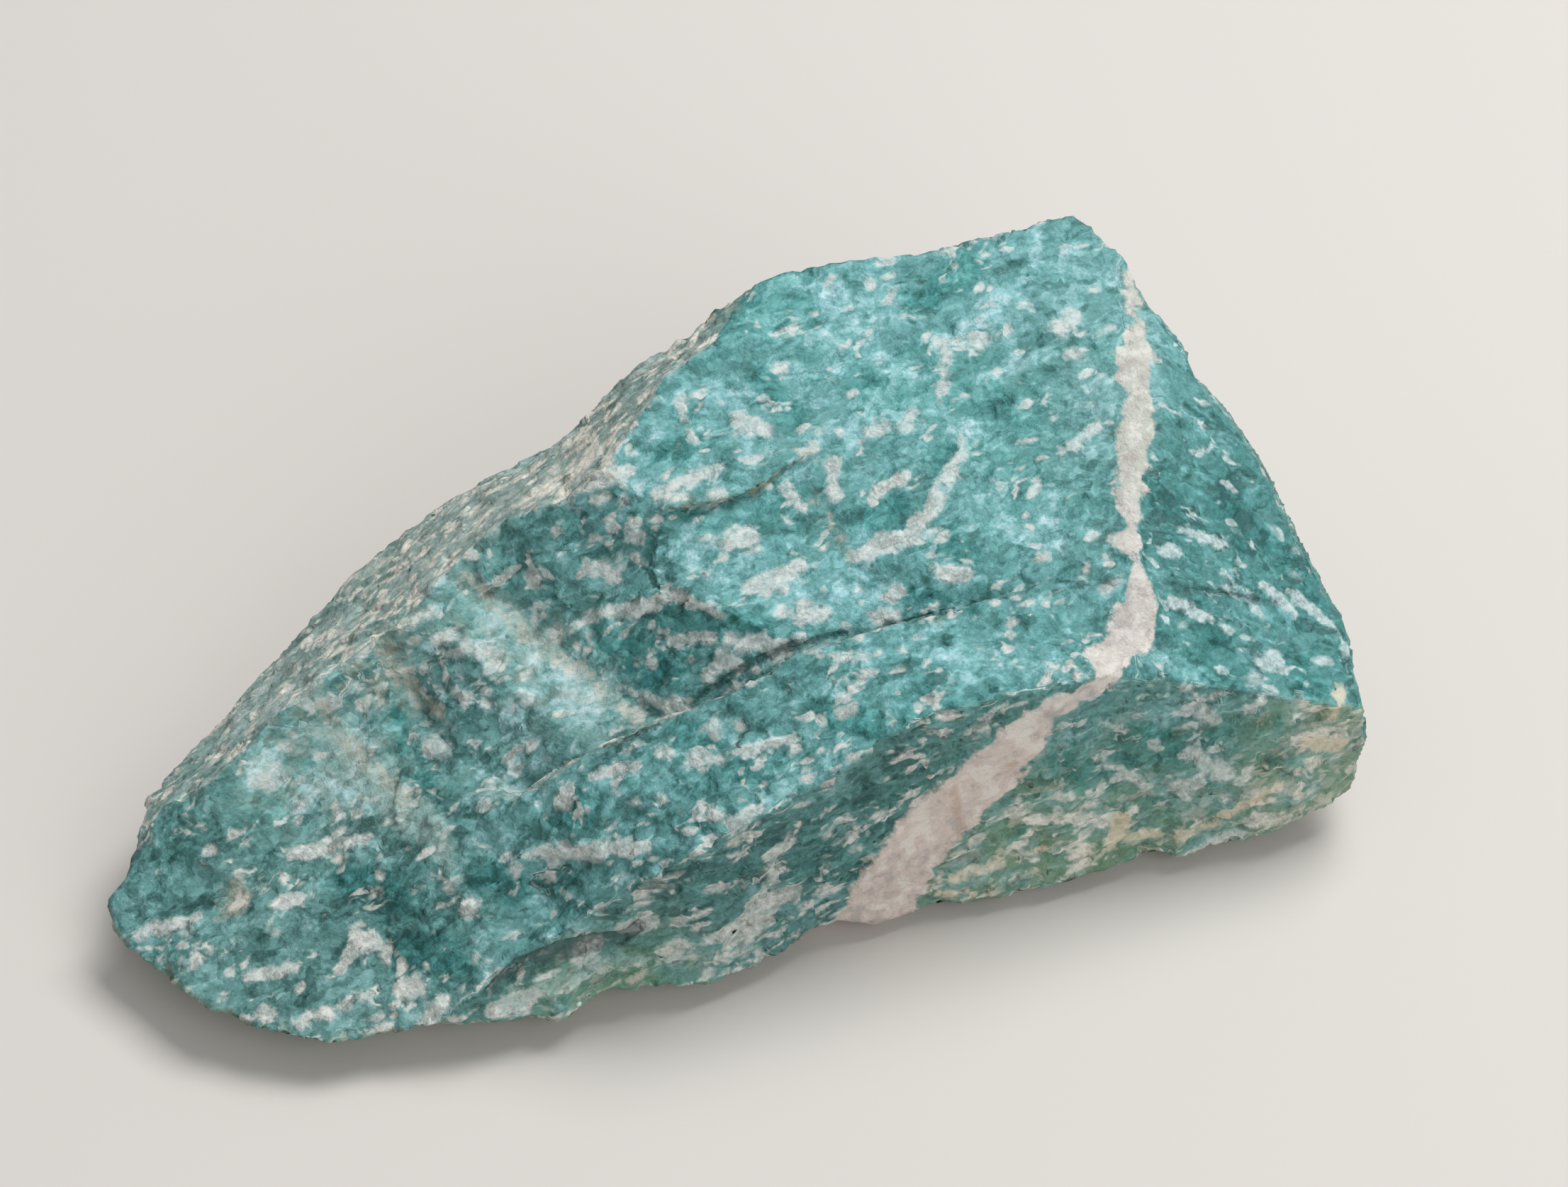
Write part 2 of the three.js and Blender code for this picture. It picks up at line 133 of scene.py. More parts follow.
# Cream flecks and streaks that are large enough to know one from another: place and half width
FLECKS = [
    # Top
    [(7.4, -3.1, 21.3, 0.4), (8.9, -2.2, 21.8, 0.6), (10.6, -2.1, 22.2, 0.6),
     (12.3, 0.1, 23.1, 0.6), (13.8, 2.9, 24.1, 0.4), (14.4, 4.1, 24.6, 0.3)],
    [(20.7, 12.8, 27.4, 0.7), (21.8, 13.8, 27.5, 0.7)],
    [(20.8, 4.1, 24.1, 0.3), (22.0, 5.0, 24.3, 0.4), (23.1, 6.1, 24.7, 0.3)],
    [(13.4, 11.6, 27.4, 0.3), (13.1, 9.6, 26.7, 0.5), (12.8, 7.2, 25.9, 0.3)],
    [(8.3, 4.6, 25.3, 0.4), (9.2, 5.4, 25.5, 0.5)],
    [(10.2, 5.3, 25.4, 0.4), (11.0, 6.1, 25.5, 0.5)],
    [(8.5, 0.6, 23.3, 0.3), (9.2, 1.4, 23.7, 0.4), (10.3, 1.9, 23.9, 0.4)],
    [(12.3, -4.3, 21.5, 0.4), (13.4, -4.6, 21.3, 0.6), (14.4, -4.4, 21.4, 0.4)],
    [(5.7, 2.7, 24.7, 0.5), (5.6, 1.7, 24.2, 0.4), (5.8, 0.8, 23.6, 0.5)],
    [(3.6, 3.0, 25.1, 0.4), (4.4, 3.4, 25.2, 0.5)],
    # Slab
    [(-5.7, -0.8, 24.7, 0.4), (-3.7, 0.3, 25.0, 0.5), (-1.8, 1.5, 25.2, 0.4)],
    [(-0.4, 5.0, 26.2, 0.7), (1.1, 4.3, 26.0, 0.6)],
    [(-1.0, -2.7, 22.7, 0.7), (0.4, -2.4, 22.6, 0.7)],
    [(0.3, -5.7, 21.1, 0.5), (1.9, -5.0, 21.3, 0.8), (3.6, -3.8, 21.5, 0.4)],
    [(3.7, -6.9, 19.9, 0.5), (5.2, -6.4, 19.7, 0.5)],
    [(-10.1, 0.1, 24.9, 0.5), (-8.6, 0.2, 25.5, 0.7), (-7.5, 0.8, 25.5, 0.4)],
    # Left-hand end
    [(-29.4, -16.0, 7.3, 0.4), (-27.5, -15.8, 7.6, 0.6), (-24.4, -16.0, 8.7, 0.4)],
    [(-28.3, -27.2, 3.8, 0.3), (-26.4, -26.8, 4.1, 0.5), (-25.1, -26.2, 4.3, 0.3),
     (-23.5, -25.3, 4.6, 0.2)],
    [(-39.3, -20.4, 4.2, 0.4), (-37.3, -20.3, 4.8, 0.6), (-35.3, -19.8, 5.2, 0.4)],
    [(-31.5, -24.3, 4.4, 0.3), (-30.0, -24.1, 4.7, 0.4), (-28.4, -24.0, 5.2, 0.3)],
    [(-31.6, -27.0, 3.6, 0.3), (-30.1, -26.6, 3.8, 0.5)],
    [(-35.4, -22.9, 4.5, 0.7), (-35.0, -22.7, 4.7, 0.6)],
    [(-25.0, -22.2, 6.3, 0.4), (-23.9, -22.6, 6.4, 0.6), (-22.6, -23.0, 6.1, 0.4)],
    [(-21.4, -25.2, 4.6, 0.8), (-20.9, -25.1, 4.8, 0.8)],
    [(-20.1, -27.0, 3.6, 0.4), (-19.0, -26.2, 4.4, 0.5)],
    [(-23.8, -27.7, 3.1, 0.3), (-22.4, -27.3, 3.2, 0.4)],
    [(-17.5, -21.6, 8.1, 0.6), (-17.3, -21.2, 8.4, 0.5)],
    [(-30.0, -19.4, 6.4, 0.5), (-28.4, -19.3, 6.6, 0.5)],
    # Steps on the left
    [(-11.6, -5.6, 16.9, 0.3), (-9.7, -5.0, 18.2, 0.4), (-7.6, -5.6, 19.1, 0.5),
     (-4.4, -5.7, 20.7, 0.5), (-2.8, -6.7, 20.7, 0.3), (-1.5, -7.4, 20.4, 0.3)],
    [(-4.5, -7.7, 18.4, 0.4), (-3.4, -7.8, 18.8, 0.5), (-2.1, -8.1, 19.1, 0.4)],
    [(-1.1, -8.8, 18.7, 0.4), (0.2, -8.7, 19.2, 0.5), (1.4, -8.7, 19.4, 0.3)],
    [(-2.3, -9.7, 17.1, 0.4), (-1.1, -9.2, 18.2, 0.5)],
    [(4.1, -10.4, 20.0, 0.2), (7.6, -10.9, 19.7, 0.3)],
    [(-7.2, -2.1, 22.7, 0.5), (-6.8, -2.3, 22.5, 0.5)],
    [(-7.1, -3.0, 21.4, 0.3), (-6.5, -3.5, 21.1, 0.3)],
    [(-10.2, -3.1, 20.6, 0.3), (-9.2, -3.3, 20.5, 0.5), (-8.2, -3.8, 20.1, 0.4)],
    [(9.2, -5.5, 20.0, 0.3), (10.0, -4.9, 20.4, 0.4)],
    [(2.6, 1.0, 23.8, 0.4), (3.4, -0.1, 23.2, 0.4), (3.7, -0.3, 23.1, 0.4)],
    [(-4.2, 5.7, 27.3, 0.4), (-3.9, 4.4, 26.9, 0.3), (-3.2, 3.3, 26.1, 0.3)],
    [(-22.3, -5.1, 17.6, 0.4), (-21.4, -5.0, 17.9, 0.5), (-20.4, -4.7, 18.1, 0.4)],
    [(-19.7, -6.3, 17.3, 0.6), (-19.1, -6.2, 17.5, 0.6)],
    [(-18.1, -7.1, 17.0, 0.5), (-15.9, -7.1, 16.7, 0.5)],
    [(-18.6, -8.8, 14.8, 0.4), (-18.0, -9.2, 14.8, 0.5)],
    [(-20.3, -10.7, 11.9, 0.6), (-19.6, -10.8, 12.0, 0.6)],
    [(-14.2, -9.7, 15.3, 0.4), (-13.8, -9.9, 15.2, 0.4)],
    [(-6.3, -9.8, 15.4, 0.3), (-5.2, -10.4, 15.3, 0.4)],
    [(-16.5, -16.3, 12.2, 0.5), (-16.0, -16.7, 12.3, 0.4)],
    # Front
    [(-9.5, -16.5, 14.9, 0.3), (-8.0, -16.2, 15.5, 0.4), (-6.6, -16.3, 15.6, 0.3)],
    [(-5.2, -15.5, 16.1, 0.4), (-4.6, -15.6, 16.1, 0.4)],
    [(-3.0, -15.9, 16.1, 0.6), (-2.5, -16.0, 16.2, 0.5)],
    [(-2.0, -16.2, 16.1, 0.2), (0.5, -15.9, 16.7, 0.4), (3.2, -15.4, 17.3, 0.3)],
    [(-1.9, -19.4, 14.5, 0.4), (-1.5, -19.7, 14.5, 0.4)],
    [(-0.6, -20.5, 14.2, 0.3), (0.3, -19.8, 14.8, 0.4), (1.3, -19.0, 15.3, 0.3)],
    [(-16.0, -19.0, 10.6, 0.1), (-13.9, -19.5, 10.9, 0.2), (-12.3, -19.6, 11.4, 0.5),
     (-10.5, -19.9, 11.6, 0.6), (-8.9, -20.2, 12.2, 0.5), (-6.2, -20.6, 12.9, 0.4)],
    [(2.0, -19.4, 9.0, 0.3), (0.9, -19.9, 7.6, 0.4), (-0.3, -20.6, 6.2, 0.4)],
    [(-7.6, -22.7, 7.4, 0.5), (-6.8, -22.5, 7.6, 0.7), (-6.0, -22.3, 7.7, 0.5)],
    [(-5.2, -22.6, 5.2, 0.5), (-4.4, -22.4, 5.3, 0.7), (-3.7, -22.3, 5.5, 0.5)],
    [(-2.0, -21.8, 5.7, 0.4), (-1.4, -21.4, 5.7, 0.6), (-0.7, -20.9, 5.9, 0.4)],
    [(-10.3, -24.0, 4.4, 0.1), (-7.1, -23.0, 4.4, 0.1), (-4.1, -22.5, 4.4, 0.2),
     (-0.5, -21.1, 3.5, 0.2), (2.3, -19.6, 2.8, 0.1)],
    [(-15.6, -26.2, 3.6, 0.6), (-14.1, -25.6, 3.9, 0.8), (-12.8, -25.1, 4.3, 0.4)],
    [(29.2, -9.5, 10.1, 0.4), (30.1, -9.3, 8.8, 0.5), (31.2, -9.1, 8.4, 0.4)],
    [(30.7, -9.2, 8.2, 0.4), (32.5, -9.0, 7.2, 0.5)],
    [(18.7, -12.9, 7.3, 0.5), (21.3, -12.1, 6.8, 0.6), (23.7, -11.2, 5.5, 0.5),
     (25.4, -10.7, 6.0, 0.4)],
    [(36.2, -7.9, 9.5, 0.4), (37.7, -7.5, 10.1, 0.5), (39.5, -6.9, 9.5, 0.4)],
    [(34.0, -9.1, 3.2, 0.7), (35.8, -8.6, 3.0, 0.6)],
    [(21.8, -12.4, 3.4, 0.6), (22.3, -12.2, 3.6, 0.6)],
    [(31.4, -9.4, 5.8, 0.2), (33.4, -9.0, 5.8, 0.3), (35.3, -8.6, 6.1, 0.2)],
    [(29.0, -9.1, 14.2, 0.5), (29.9, -8.9, 13.1, 0.5), (30.6, -8.8, 12.2, 0.4)],
    [(22.7, -11.1, 11.1, 0.2), (24.9, -10.4, 9.1, 0.3), (26.9, -10.1, 7.0, 0.2)],
    [(28.3, -9.7, 7.5, 0.4), (29.1, -9.7, 6.4, 0.4)],
    [(28.3, -9.1, 15.5, 0.3), (29.8, -8.9, 14.4, 0.3)],
    [(33.6, -8.1, 13.3, 0.4), (32.7, -8.3, 12.9, 0.3)],
    [(17.7, -12.9, 9.1, 0.2), (18.3, -12.7, 10.1, 0.2)],
    [(23.1, -10.6, 14.2, 0.2), (24.3, -10.2, 12.8, 0.2)],
    # Right-hand slope
    [(28.7, 0.2, 20.6, 0.3), (30.0, 0.5, 20.0, 0.4), (31.2, 0.6, 19.2, 0.3)],
    [(27.5, -1.4, 20.7, 0.4), (28.1, -1.3, 20.4, 0.4)],
    [(31.2, -1.3, 18.4, 0.2), (32.4, -1.8, 17.2, 0.2), (33.6, -2.6, 16.0, 0.2)],
    [(34.1, -0.5, 16.5, 0.3), (35.2, -0.9, 15.7, 0.4), (36.1, -1.5, 15.1, 0.3)],
    [(31.2, -4.6, 16.6, 0.3), (31.7, -4.6, 16.3, 0.3)],
    [(33.8, -5.9, 14.7, 0.6), (34.7, -5.4, 14.4, 0.6)],
    [(27.7, -4.6, 18.9, 0.3), (28.9, -4.4, 18.2, 0.4), (30.1, -4.5, 17.5, 0.3)],
    [(36.4, 0.0, 15.4, 0.4), (38.0, -0.8, 14.1, 0.5), (39.6, -3.1, 13.1, 0.4)],
]
# Milky veils in the teal: place and half width
VEILS = [
    [(4.6, 14.5, 29.6, 0.9), (7.0, 13.0, 28.7, 1.4), (8.6, 11.4, 27.9, 0.9)],
    [(3.7, 8.3, 27.2, 0.7), (6.0, 9.5, 27.5, 0.7)],
    [(8.8, 10.0, 27.3, 0.7), (11.1, 9.2, 26.7, 0.8)],
    [(17.3, 14.5, 28.4, 0.6), (14.9, 12.3, 27.5, 0.7)],
    [(22.7, 5.2, 24.3, 0.6), (20.3, 2.6, 23.5, 0.8), (19.7, -2.4, 21.8, 1.1)],
    [(16.1, 1.3, 23.4, 0.9), (17.4, -2.6, 22.0, 0.9)],
    [(20.5, 8.0, 25.6, 0.6), (22.9, 10.2, 26.1, 0.6)],
    [(13.9, 5.6, 25.2, 0.6), (16.2, 5.3, 24.8, 0.6)],
    [(-1.9, 7.1, 27.3, 0.6), (0.0, 5.1, 26.3, 0.8), (0.4, 1.6, 25.0, 0.6)],
    [(-5.8, 3.7, 26.8, 0.6), (-6.3, 1.7, 25.8, 0.5)],
    [(-4.6, -3.9, 21.9, 1.1), (0.0, -4.8, 21.5, 1.3), (3.6, -6.3, 20.5, 1.5),
     (7.3, -5.7, 20.0, 1.2), (9.1, -5.8, 20.0, 0.7)],
    [(11.7, -10.4, 20.0, 0.9), (14.9, -10.6, 19.6, 1.1), (19.4, -10.7, 19.0, 1.0)],
    [(-0.4, -15.5, 16.8, 0.5), (2.7, -15.9, 16.9, 0.7), (5.0, -17.1, 16.5, 1.1),
     (2.7, -17.4, 16.1, 0.7)],
    [(-28.6, -11.9, 9.3, 0.6), (-26.2, -12.7, 9.5, 0.7), (-24.3, -13.6, 9.7, 0.5)],
    [(-39.3, -18.4, 5.5, 0.8), (-38.7, -19.5, 4.7, 0.6)],
    [(-12.8, -20.3, 8.8, 0.4), (-12.7, -21.9, 8.0, 0.7), (-11.9, -23.5, 7.8, 0.8),
     (-9.0, -22.8, 7.8, 0.5)],
    [(-18.4, -22.2, 7.5, 0.4), (-15.9, -22.9, 7.4, 0.4)],
    [(-31.2, -11.1, 11.1, 0.7), (-32.0, -12.3, 10.4, 0.5)],
    [(26.0, -8.5, 17.5, 0.7), (29.3, -8.2, 16.0, 0.7)],
    [(-28.2, -9.2, 12.4, 0.4), (-28.5, -8.0, 14.2, 0.3)],
    [(-13.0, -9.0, 15.5, 0.7), (-10.3, -9.9, 15.4, 1.0), (-8.4, -9.9, 15.4, 0.8)],
    [(-14.2, -6.8, 16.2, 0.9), (-12.0, -7.9, 15.9, 0.8)],
]
# Pockets of pure deep teal: place and half width
POCKETS = [
    [(7.6, -0.8, 22.6, 0.7), (9.9, -0.2, 22.9, 1.2)],
    [(13.0, -2.3, 22.4, 0.9), (14.4, -3.3, 21.9, 0.7)],
    [(1.3, 8.0, 27.4, 0.8), (3.3, 4.9, 25.9, 0.8)],
    [(11.7, 14.3, 28.5, 1.3), (15.0, 17.1, 29.4, 1.2)],
    [(7.2, 7.5, 26.7, 0.6), (7.6, 9.1, 27.1, 0.6)],
    [(12.4, 3.1, 24.3, 0.7), (13.6, 3.6, 24.5, 0.5)],
    [(16.3, 8.5, 26.1, 0.6), (18.2, 6.0, 24.9, 0.5)],
    [(10.9, -5.3, 20.2, 0.5), (14.5, -6.8, 20.7, 0.4)],
    [(-5.5, 2.0, 25.9, 0.6), (-3.2, 3.2, 26.1, 0.7), (-4.2, 4.8, 27.1, 0.5)],
    [(-1.8, -7.4, 20.2, 0.6), (1.4, -8.0, 20.1, 0.5)],
    [(8.5, -15.0, 18.2, 0.7), (5.4, -14.3, 18.2, 1.1)],
    [(-4.0, -14.6, 16.6, 0.9), (-1.7, -15.3, 16.6, 0.4)],
    [(0.1, -16.7, 16.2, 1.0), (1.8, -16.5, 16.5, 0.7)],
    [(-10.7, -17.9, 13.5, 1.3), (-10.5, -18.1, 13.4, 1.2)],
    [(-25.5, -18.3, 7.4, 1.3), (-22.1, -20.7, 8.0, 1.3)],
    [(-21.1, -23.3, 6.2, 1.6), (-18.4, -24.3, 6.0, 1.3)],
    [(-20.5, -14.5, 10.6, 1.2), (-22.6, -9.2, 12.5, 1.2)],
    [(-9.2, -6.4, 17.4, 1.2), (-5.0, -9.1, 16.9, 1.4)],
    [(-16.6, -20.2, 9.4, 0.9), (-14.4, -20.6, 9.2, 0.8)],
    [(36.1, -5.3, 13.8, 1.0), (37.1, -6.4, 13.0, 1.0)],
    [(29.4, -4.3, 18.0, 0.8), (30.8, -5.4, 16.5, 0.9)],
    [(32.2, 4.5, 20.0, 0.9), (33.1, 2.2, 18.3, 0.8)],
    [(20.6, -12.1, 12.1, 1.0), (23.5, -11.0, 8.5, 1.3)],
    [(25.3, -10.1, 11.4, 1.6), (30.0, -9.1, 11.1, 1.6)],
    [(18.4, -12.9, 7.7, 0.9), (17.5, -13.2, 6.0, 0.6)],
    [(26.5, -10.4, 6.1, 0.8), (27.5, -10.2, 4.9, 0.7)],
]
# Ochre seams low on the right: place and half width
OCHRES = [
    [(12.1, -15.0, 3.6, 0.2), (14.3, -14.4, 3.6, 0.2), (17.1, -13.6, 4.3, 0.2),
     (19.9, -12.7, 4.5, 0.2)],
    [(25.4, -10.9, 3.5, 0.3), (26.7, -10.5, 3.4, 0.3), (28.6, -10.2, 2.7, 0.3),
     (30.0, -9.8, 3.2, 0.3), (32.3, -9.4, 4.4, 0.3), (34.6, -8.8, 5.7, 0.3),
     (36.0, -8.4, 6.4, 0.2)],
    [(24.2, -11.4, 3.5, 0.5), (24.7, -11.0, 4.8, 0.7), (24.9, -10.9, 5.7, 0.5)],
    [(37.2, -7.8, 9.2, 0.6), (39.2, -7.0, 8.3, 0.7)],
    [(12.7, -14.9, 2.3, 0.2), (14.9, -14.4, 1.8, 0.2)],
    [(38.5, -7.2, 11.2, 0.5), (39.0, -5.8, 12.3, 0.4)],
]
# Brown threads in the vein: place and half width
THREADS = [
    [(13.4, -14.1, 11.5, 0.2), (13.8, -14.1, 8.9, 0.3), (14.2, -14.2, 6.7, 0.2)],
    [(17.3, -12.9, 12.6, 0.2), (16.2, -13.1, 11.5, 0.2)],
]
# Pale treads of the steps: place and half width
PALES = [
    [(-26.7, -9.5, 11.8, 0.6), (-24.8, -11.5, 10.5, 0.9), (-22.4, -14.1, 10.3, 1.2),
     (-19.9, -17.1, 10.5, 1.1), (-18.5, -19.1, 9.9, 0.5)],
    [(-14.8, -25.8, 4.1, 0.4), (-12.1, -24.9, 4.6, 0.5), (-9.5, -23.5, 4.9, 0.4),
     (-4.1, -22.5, 4.6, 0.3)],
]
# Beige stains along the edges of the steps: place and half width
STAINS = [
    [(-27.4, -8.7, 13.3, 0.4), (-25.8, -9.9, 11.6, 0.4), (-23.7, -11.7, 10.7, 0.4),
     (-21.7, -14.3, 10.4, 0.4)],
    [(-23.6, -5.6, 16.7, 0.6), (-22.6, -6.6, 15.0, 0.5), (-21.2, -7.7, 13.3, 0.6),
     (-19.8, -9.2, 13.2, 0.4)],
    [(-18.4, -2.5, 19.3, 0.4), (-16.1, -3.7, 18.1, 0.5), (-13.8, -5.5, 16.8, 0.5),
     (-10.1, -7.9, 15.7, 0.4), (-6.6, -11.3, 14.6, 0.3)],
    [(4.6, 0.6, 23.5, 0.2), (5.4, -1.0, 22.6, 0.2), (6.9, -2.7, 21.5, 0.1)],
    [(-32.8, -17.8, 6.8, 0.6), (-32.6, -19.3, 6.0, 0.9)],
]
# Cracks and steps that are too thin for the solid: place and half width. Where the half width is
# below 0, the crack is only faint
# Along these the colour is also darkened as painted shade, as in crevices and under ledges
CRACKS = [
    [(-16.5, -16.4, 12.2, 0.0), (-14.5, -14.2, 11.5, -0.15), (-11.8, -13.8, 12.9, -0.15),
     (-8.6, -14.9, 16.1, 0.1), (-5.7, -13.9, 16.8, 0.2), (-3.2, -10.8, 15.5, 0.15)],
    [(-5.6, -22.4, 8.4, 0.2), (-7.8, -22.8, 6.8, 0.5), (-9.9, -23.3, 6.7, 0.6),
     (-11.8, -24.0, 6.8, 0.6), (-14.2, -24.9, 6.2, 0.6), (-15.9, -25.8, 5.0, 0.4)],
    [(-2.3, -10.3, 16.4, 0.1), (0.4, -9.6, 18.1, 0.25), (3.2, -8.7, 18.8, 0.3),
     (6.1, -7.9, 19.1, 0.2), (8.3, -7.7, 19.3, 0.1), (12.8, -6.3, 19.7, 0.05),
     (20.5, -5.2, 20.6, 0.0), (23.7, -4.5, 20.6, 0.0)],
    [(-1.0, 7.3, 27.3, -0.3), (0.4, 5.9, 26.4, -0.15), (1.7, 4.4, 25.9, -0.1),
     (3.6, 2.9, 25.1, -0.1), (4.6, 1.0, 23.8, -0.2), (6.0, -0.7, 22.7, -0.2),
     (7.2, -3.0, 21.4, -0.2), (8.8, -4.2, 20.7, -0.2), (10.6, -5.4, 20.1, -0.2)],
    [(-4.6, -1.6, 23.9, -0.2), (-1.8, -0.3, 23.9, -0.1), (0.4, 0.3, 24.4, -0.1),
     (3.2, 2.1, 24.4, -0.2)],
    [(27.0, -3.7, 19.9, 0.1), (29.4, -3.2, 18.7, 0.15), (32.4, -2.2, 17.1, 0.15),
     (34.9, -1.3, 15.8, 0.1)],
    [(-12.4, -19.9, 10.9, 0.1), (-11.2, -20.2, 10.8, 0.1), (-9.0, -20.6, 11.4, 0.0)],
]
MARKS = {
    "streak": FLECKS, "veil": VEILS, "pocket": POCKETS, "ochre": OCHRES, "thread": THREADS,
    "pale": PALES, "stain": STAINS, "crack": CRACKS,
}
FAR = 4.0                      # distances are kept up to here

# Relief of the broken surface
MEAN = 0.5                     # of a noise or a random number from 0 to 1
SWELL_SIZE = 5.0
SWELL_HEIGHT = 0.15
PLATES = ((2.8, 0.24), (1.3, 0.46))     # size of the tilted plates of the break, and their lean
PLATE_SPREAD = 17.3            # takes the seeds of neighbouring plates to random cells far apart
LAYERS = ((1.5, 0.22), (0.7, 0.25))     # step between layers of the crystal, and share that shows
LAYER_WAVER = 2                # how far the layers bend, in steps
LAYER_WAVER_SIZE = 5.0
LAYER_FADE = 4                 # power with which they fade on faces that lie along the cleavage
CALM = 0.25                    # share of the relief that the smoothest faces keep
VEIN_RISE = 0.12
VEIN_CALM = 0.8                # share of the relief that the vein takes away
FLECK_RISE = 0.08
CRACK_DEPTH = 0.25
RIM = 0.3                      # markings rise and cracks sink over this distance across their edges

# Noises that the parts of the material share: size, detail and roughness
WAVE_NOISE = (1.1, 3, 0.65)
BROAD_NOISE = (3.2, 2, 0.65)
FINE_NOISE = (0.5, 3, 0.7)
FINE_SHIFT = (8, 8, 8)
FINE_EDGES = (0.36, 0.64)
DRIFT_NOISE = (9, 2, 0.5)
DRIFT_SHIFT = (2, 9, 4)
# The pattern of the grain is shaken about twice: size and reach, then detail and roughness
SHAKES = ((2.4, 1.6), (0.7, 0.65))
SHAKE_DETAIL = (1, 0.5)

# How each traced marking shows: how much its edge wavers, the distances from its outline where it
# begins and where it is full, and its strength
EDGES = {
    "streak": (1.8, 0.25, -0.20, 1.00),
    "veil": (4.5, 0.70, -0.90, 1.00),
    "pocket": (3.5, 0.70, -0.70, 1.00),
    "pale": (3.0, 0.50, -0.40, 0.50),
    "stain": (3.0, 0.40, -0.30, 0.56),
    "ochre": (1.5, 0.25, -0.15, 0.75),
    "thread": (1.5, 0.30, -0.20, 0.60),
}

# Ragged patches: level of the noise where none and where all is covered, detail and roughness
PATCH_LEVELS = (0.66, 0.34)
PATCH_DETAIL = (2, 0.7)
# Round flecks, in cells: how fast they grow with their random number, the largest radius, and
# the distances inside the radius where a fleck begins and where it is full
ROUND_GROWTH = 1.2
ROUND_LARGEST = 0.42
ROUND_EDGE = (-0.12, 0.16)

# Mottling of the teal, a row for each size of patch: shift of the noise, size, share covered where
# the stone is darkest and where it is milkiest, softness, and how much lighter the patch is
MOTTLES = (
    ((0, 0, 0), 2.4, 0.1, 0.7, 0.10, 0.20),
    ((31, 17, 5), 1.4, 0.1, 0.7, 0.08, 0.17),
    ((7, 43, 19), 1.6, 0.6, 0.1, 0.06, -0.20),
    ((23, 5, 37), 0.5, 0.5, 0.5, 0.12, 0.10),
)
# Place on the scales of tones, from 0 to 1, and how far each of these moves it
TONE_START = 0.30
DEPTH_SWING = 0.42
DRIFT_SWING = 0.40
FINE_SWING = 0.16
VEIL_SWING = 0.20
POCKET_SWING = 0.14
VEIL_STRENGTH = (0.7, 1.1)     # in the gaps of the fine noise and in its grains
# Share of pure teal in a pocket and in the low parts of the drift, and levels of the drift there
PURE_POCKET = 0.8
PURE_DRIFT = 0.6
PURE_EDGES = (0.52, 0.36)
POCKET_CLEARS = 0.7            # share of the dull grey that a pocket takes away

# Cream flecks that are noise: shift, size, and share of the region's flecks
ROUND_FLECKS = (((0, 0, 0), 2.2, 0.6), ((11, 3, 29), 1.0, 1.0))
RAGGED_FLECKS = ((3, 23, 13), 1.5, 0.4, 0.09)           # and softness
FLECK_CROWDS = (0.55, 1.45)    # share of flecks in the lows and the highs of the broad noise
CROWD_EDGES = (-0.14, 0.14)
FLECK_STRENGTH = (0.52, 0.98)  # in the gaps of the fine noise and in its grains
WARM_FLECKS = 0.7              # share of the warm cream in the highs of the wave
WARM_EDGES = (-0.08, 0.08)
COOL_LOSS = 1.2                # how fast the cool cream goes as the stone gets darker
SLOPE_COOL = 0.8               # share of that loss which the right-hand slope is spared
DULL_EDGES = (0.2, 0.8)        # moss or grey where the dull cream begins and where it is full

# Weathering and stains, dark specks, and painted shade along the cracks
OCHRE_PATCHES = (1.1, 0.42, 0.1)        # ochre in the moss: size, share and softness
MOSS_STRENGTH = (0.4, 0.9)     # in the highs and the lows of the broad noise
MOSS_EDGES = (0.1, -0.08)
SPOT_STRENGTH = 0.8            # of the beige spots, in the highs of the wave
SPOT_EDGES = (-0.12, 0.12)
STAIN_GRAIN = (0.4, 1.0)       # strength in the gaps of the fine noise and in its grains
SPECK_SIZE = 1.7
SPECK_SHARE = 0.14             # share of the cells that hold a dark speck
SPECK_EDGE = (0.12, 0.06)
SPECK_STRENGTH = 0.7
CRACK_WAVER = 1.2
CRACK_SHADES = ((0.5, 0.0), (0.12, -0.1))       # edges of the soft and the sharp shade of a crack
CRACK_SHADE = 0.35             # strength of each

# The vein
VEIN_WAVER = 1.5               # how much its edges waver with the wave and with the broad noise
VEIN_BEND = 3.5
VEIN_EDGE = (0.2, -0.2)
PINK_HEIGHTS = (12, 20)        # pink below, white above
GREEN_HEIGHTS = (21, 24)       # and greenish above these
GREY_CLOUDS = 0.7
GREY_EDGES = (0.0, 0.167)
GREY_GRAIN = 0.3
LIGHT_CLOUDS = 0.6
LIGHT_EDGES = (-0.033, -0.167)

# Bumps that are too fine for the mesh
CHIP_SIZE = 0.6
CHIP_LEAN = 1.1
CHIP_STRENGTH = (0.4, 1.0)     # on the smoothest and on the roughest faces
VEIN_CHIPS = (0.4, 1.0)        # inside the vein and away from it
VEIN_CHIP_EDGE = (-0.6, 0.2)
PIT_NOISE = (0.4, 2, 0.65)
PIT_HEIGHT = 0.12
CRACK_BUMP = 0.2
CRACK_BUMP_EDGE = (0.15, -0.1)
ROUGHNESS = 0.56
FINE_ROUGHNESS = 0.12
BREAK_ROUGHNESS = 0.08
FLOOR_ROUGHNESS = 0.9

# Sockets of the Mix node when it mixes colours
MIX_SHARE, MIX_FIRST, MIX_SECOND, MIX_RESULT = 0, 6, 7, 2

FULL_LEVEL = 255


def tint(red, green, blue):
    """Linear colour of an sRGB colour given from 0 to 255."""
    colour = Color((red, green, blue)) / FULL_LEVEL
    return (*colour.from_srgb_to_scene_linear(), 1.0)


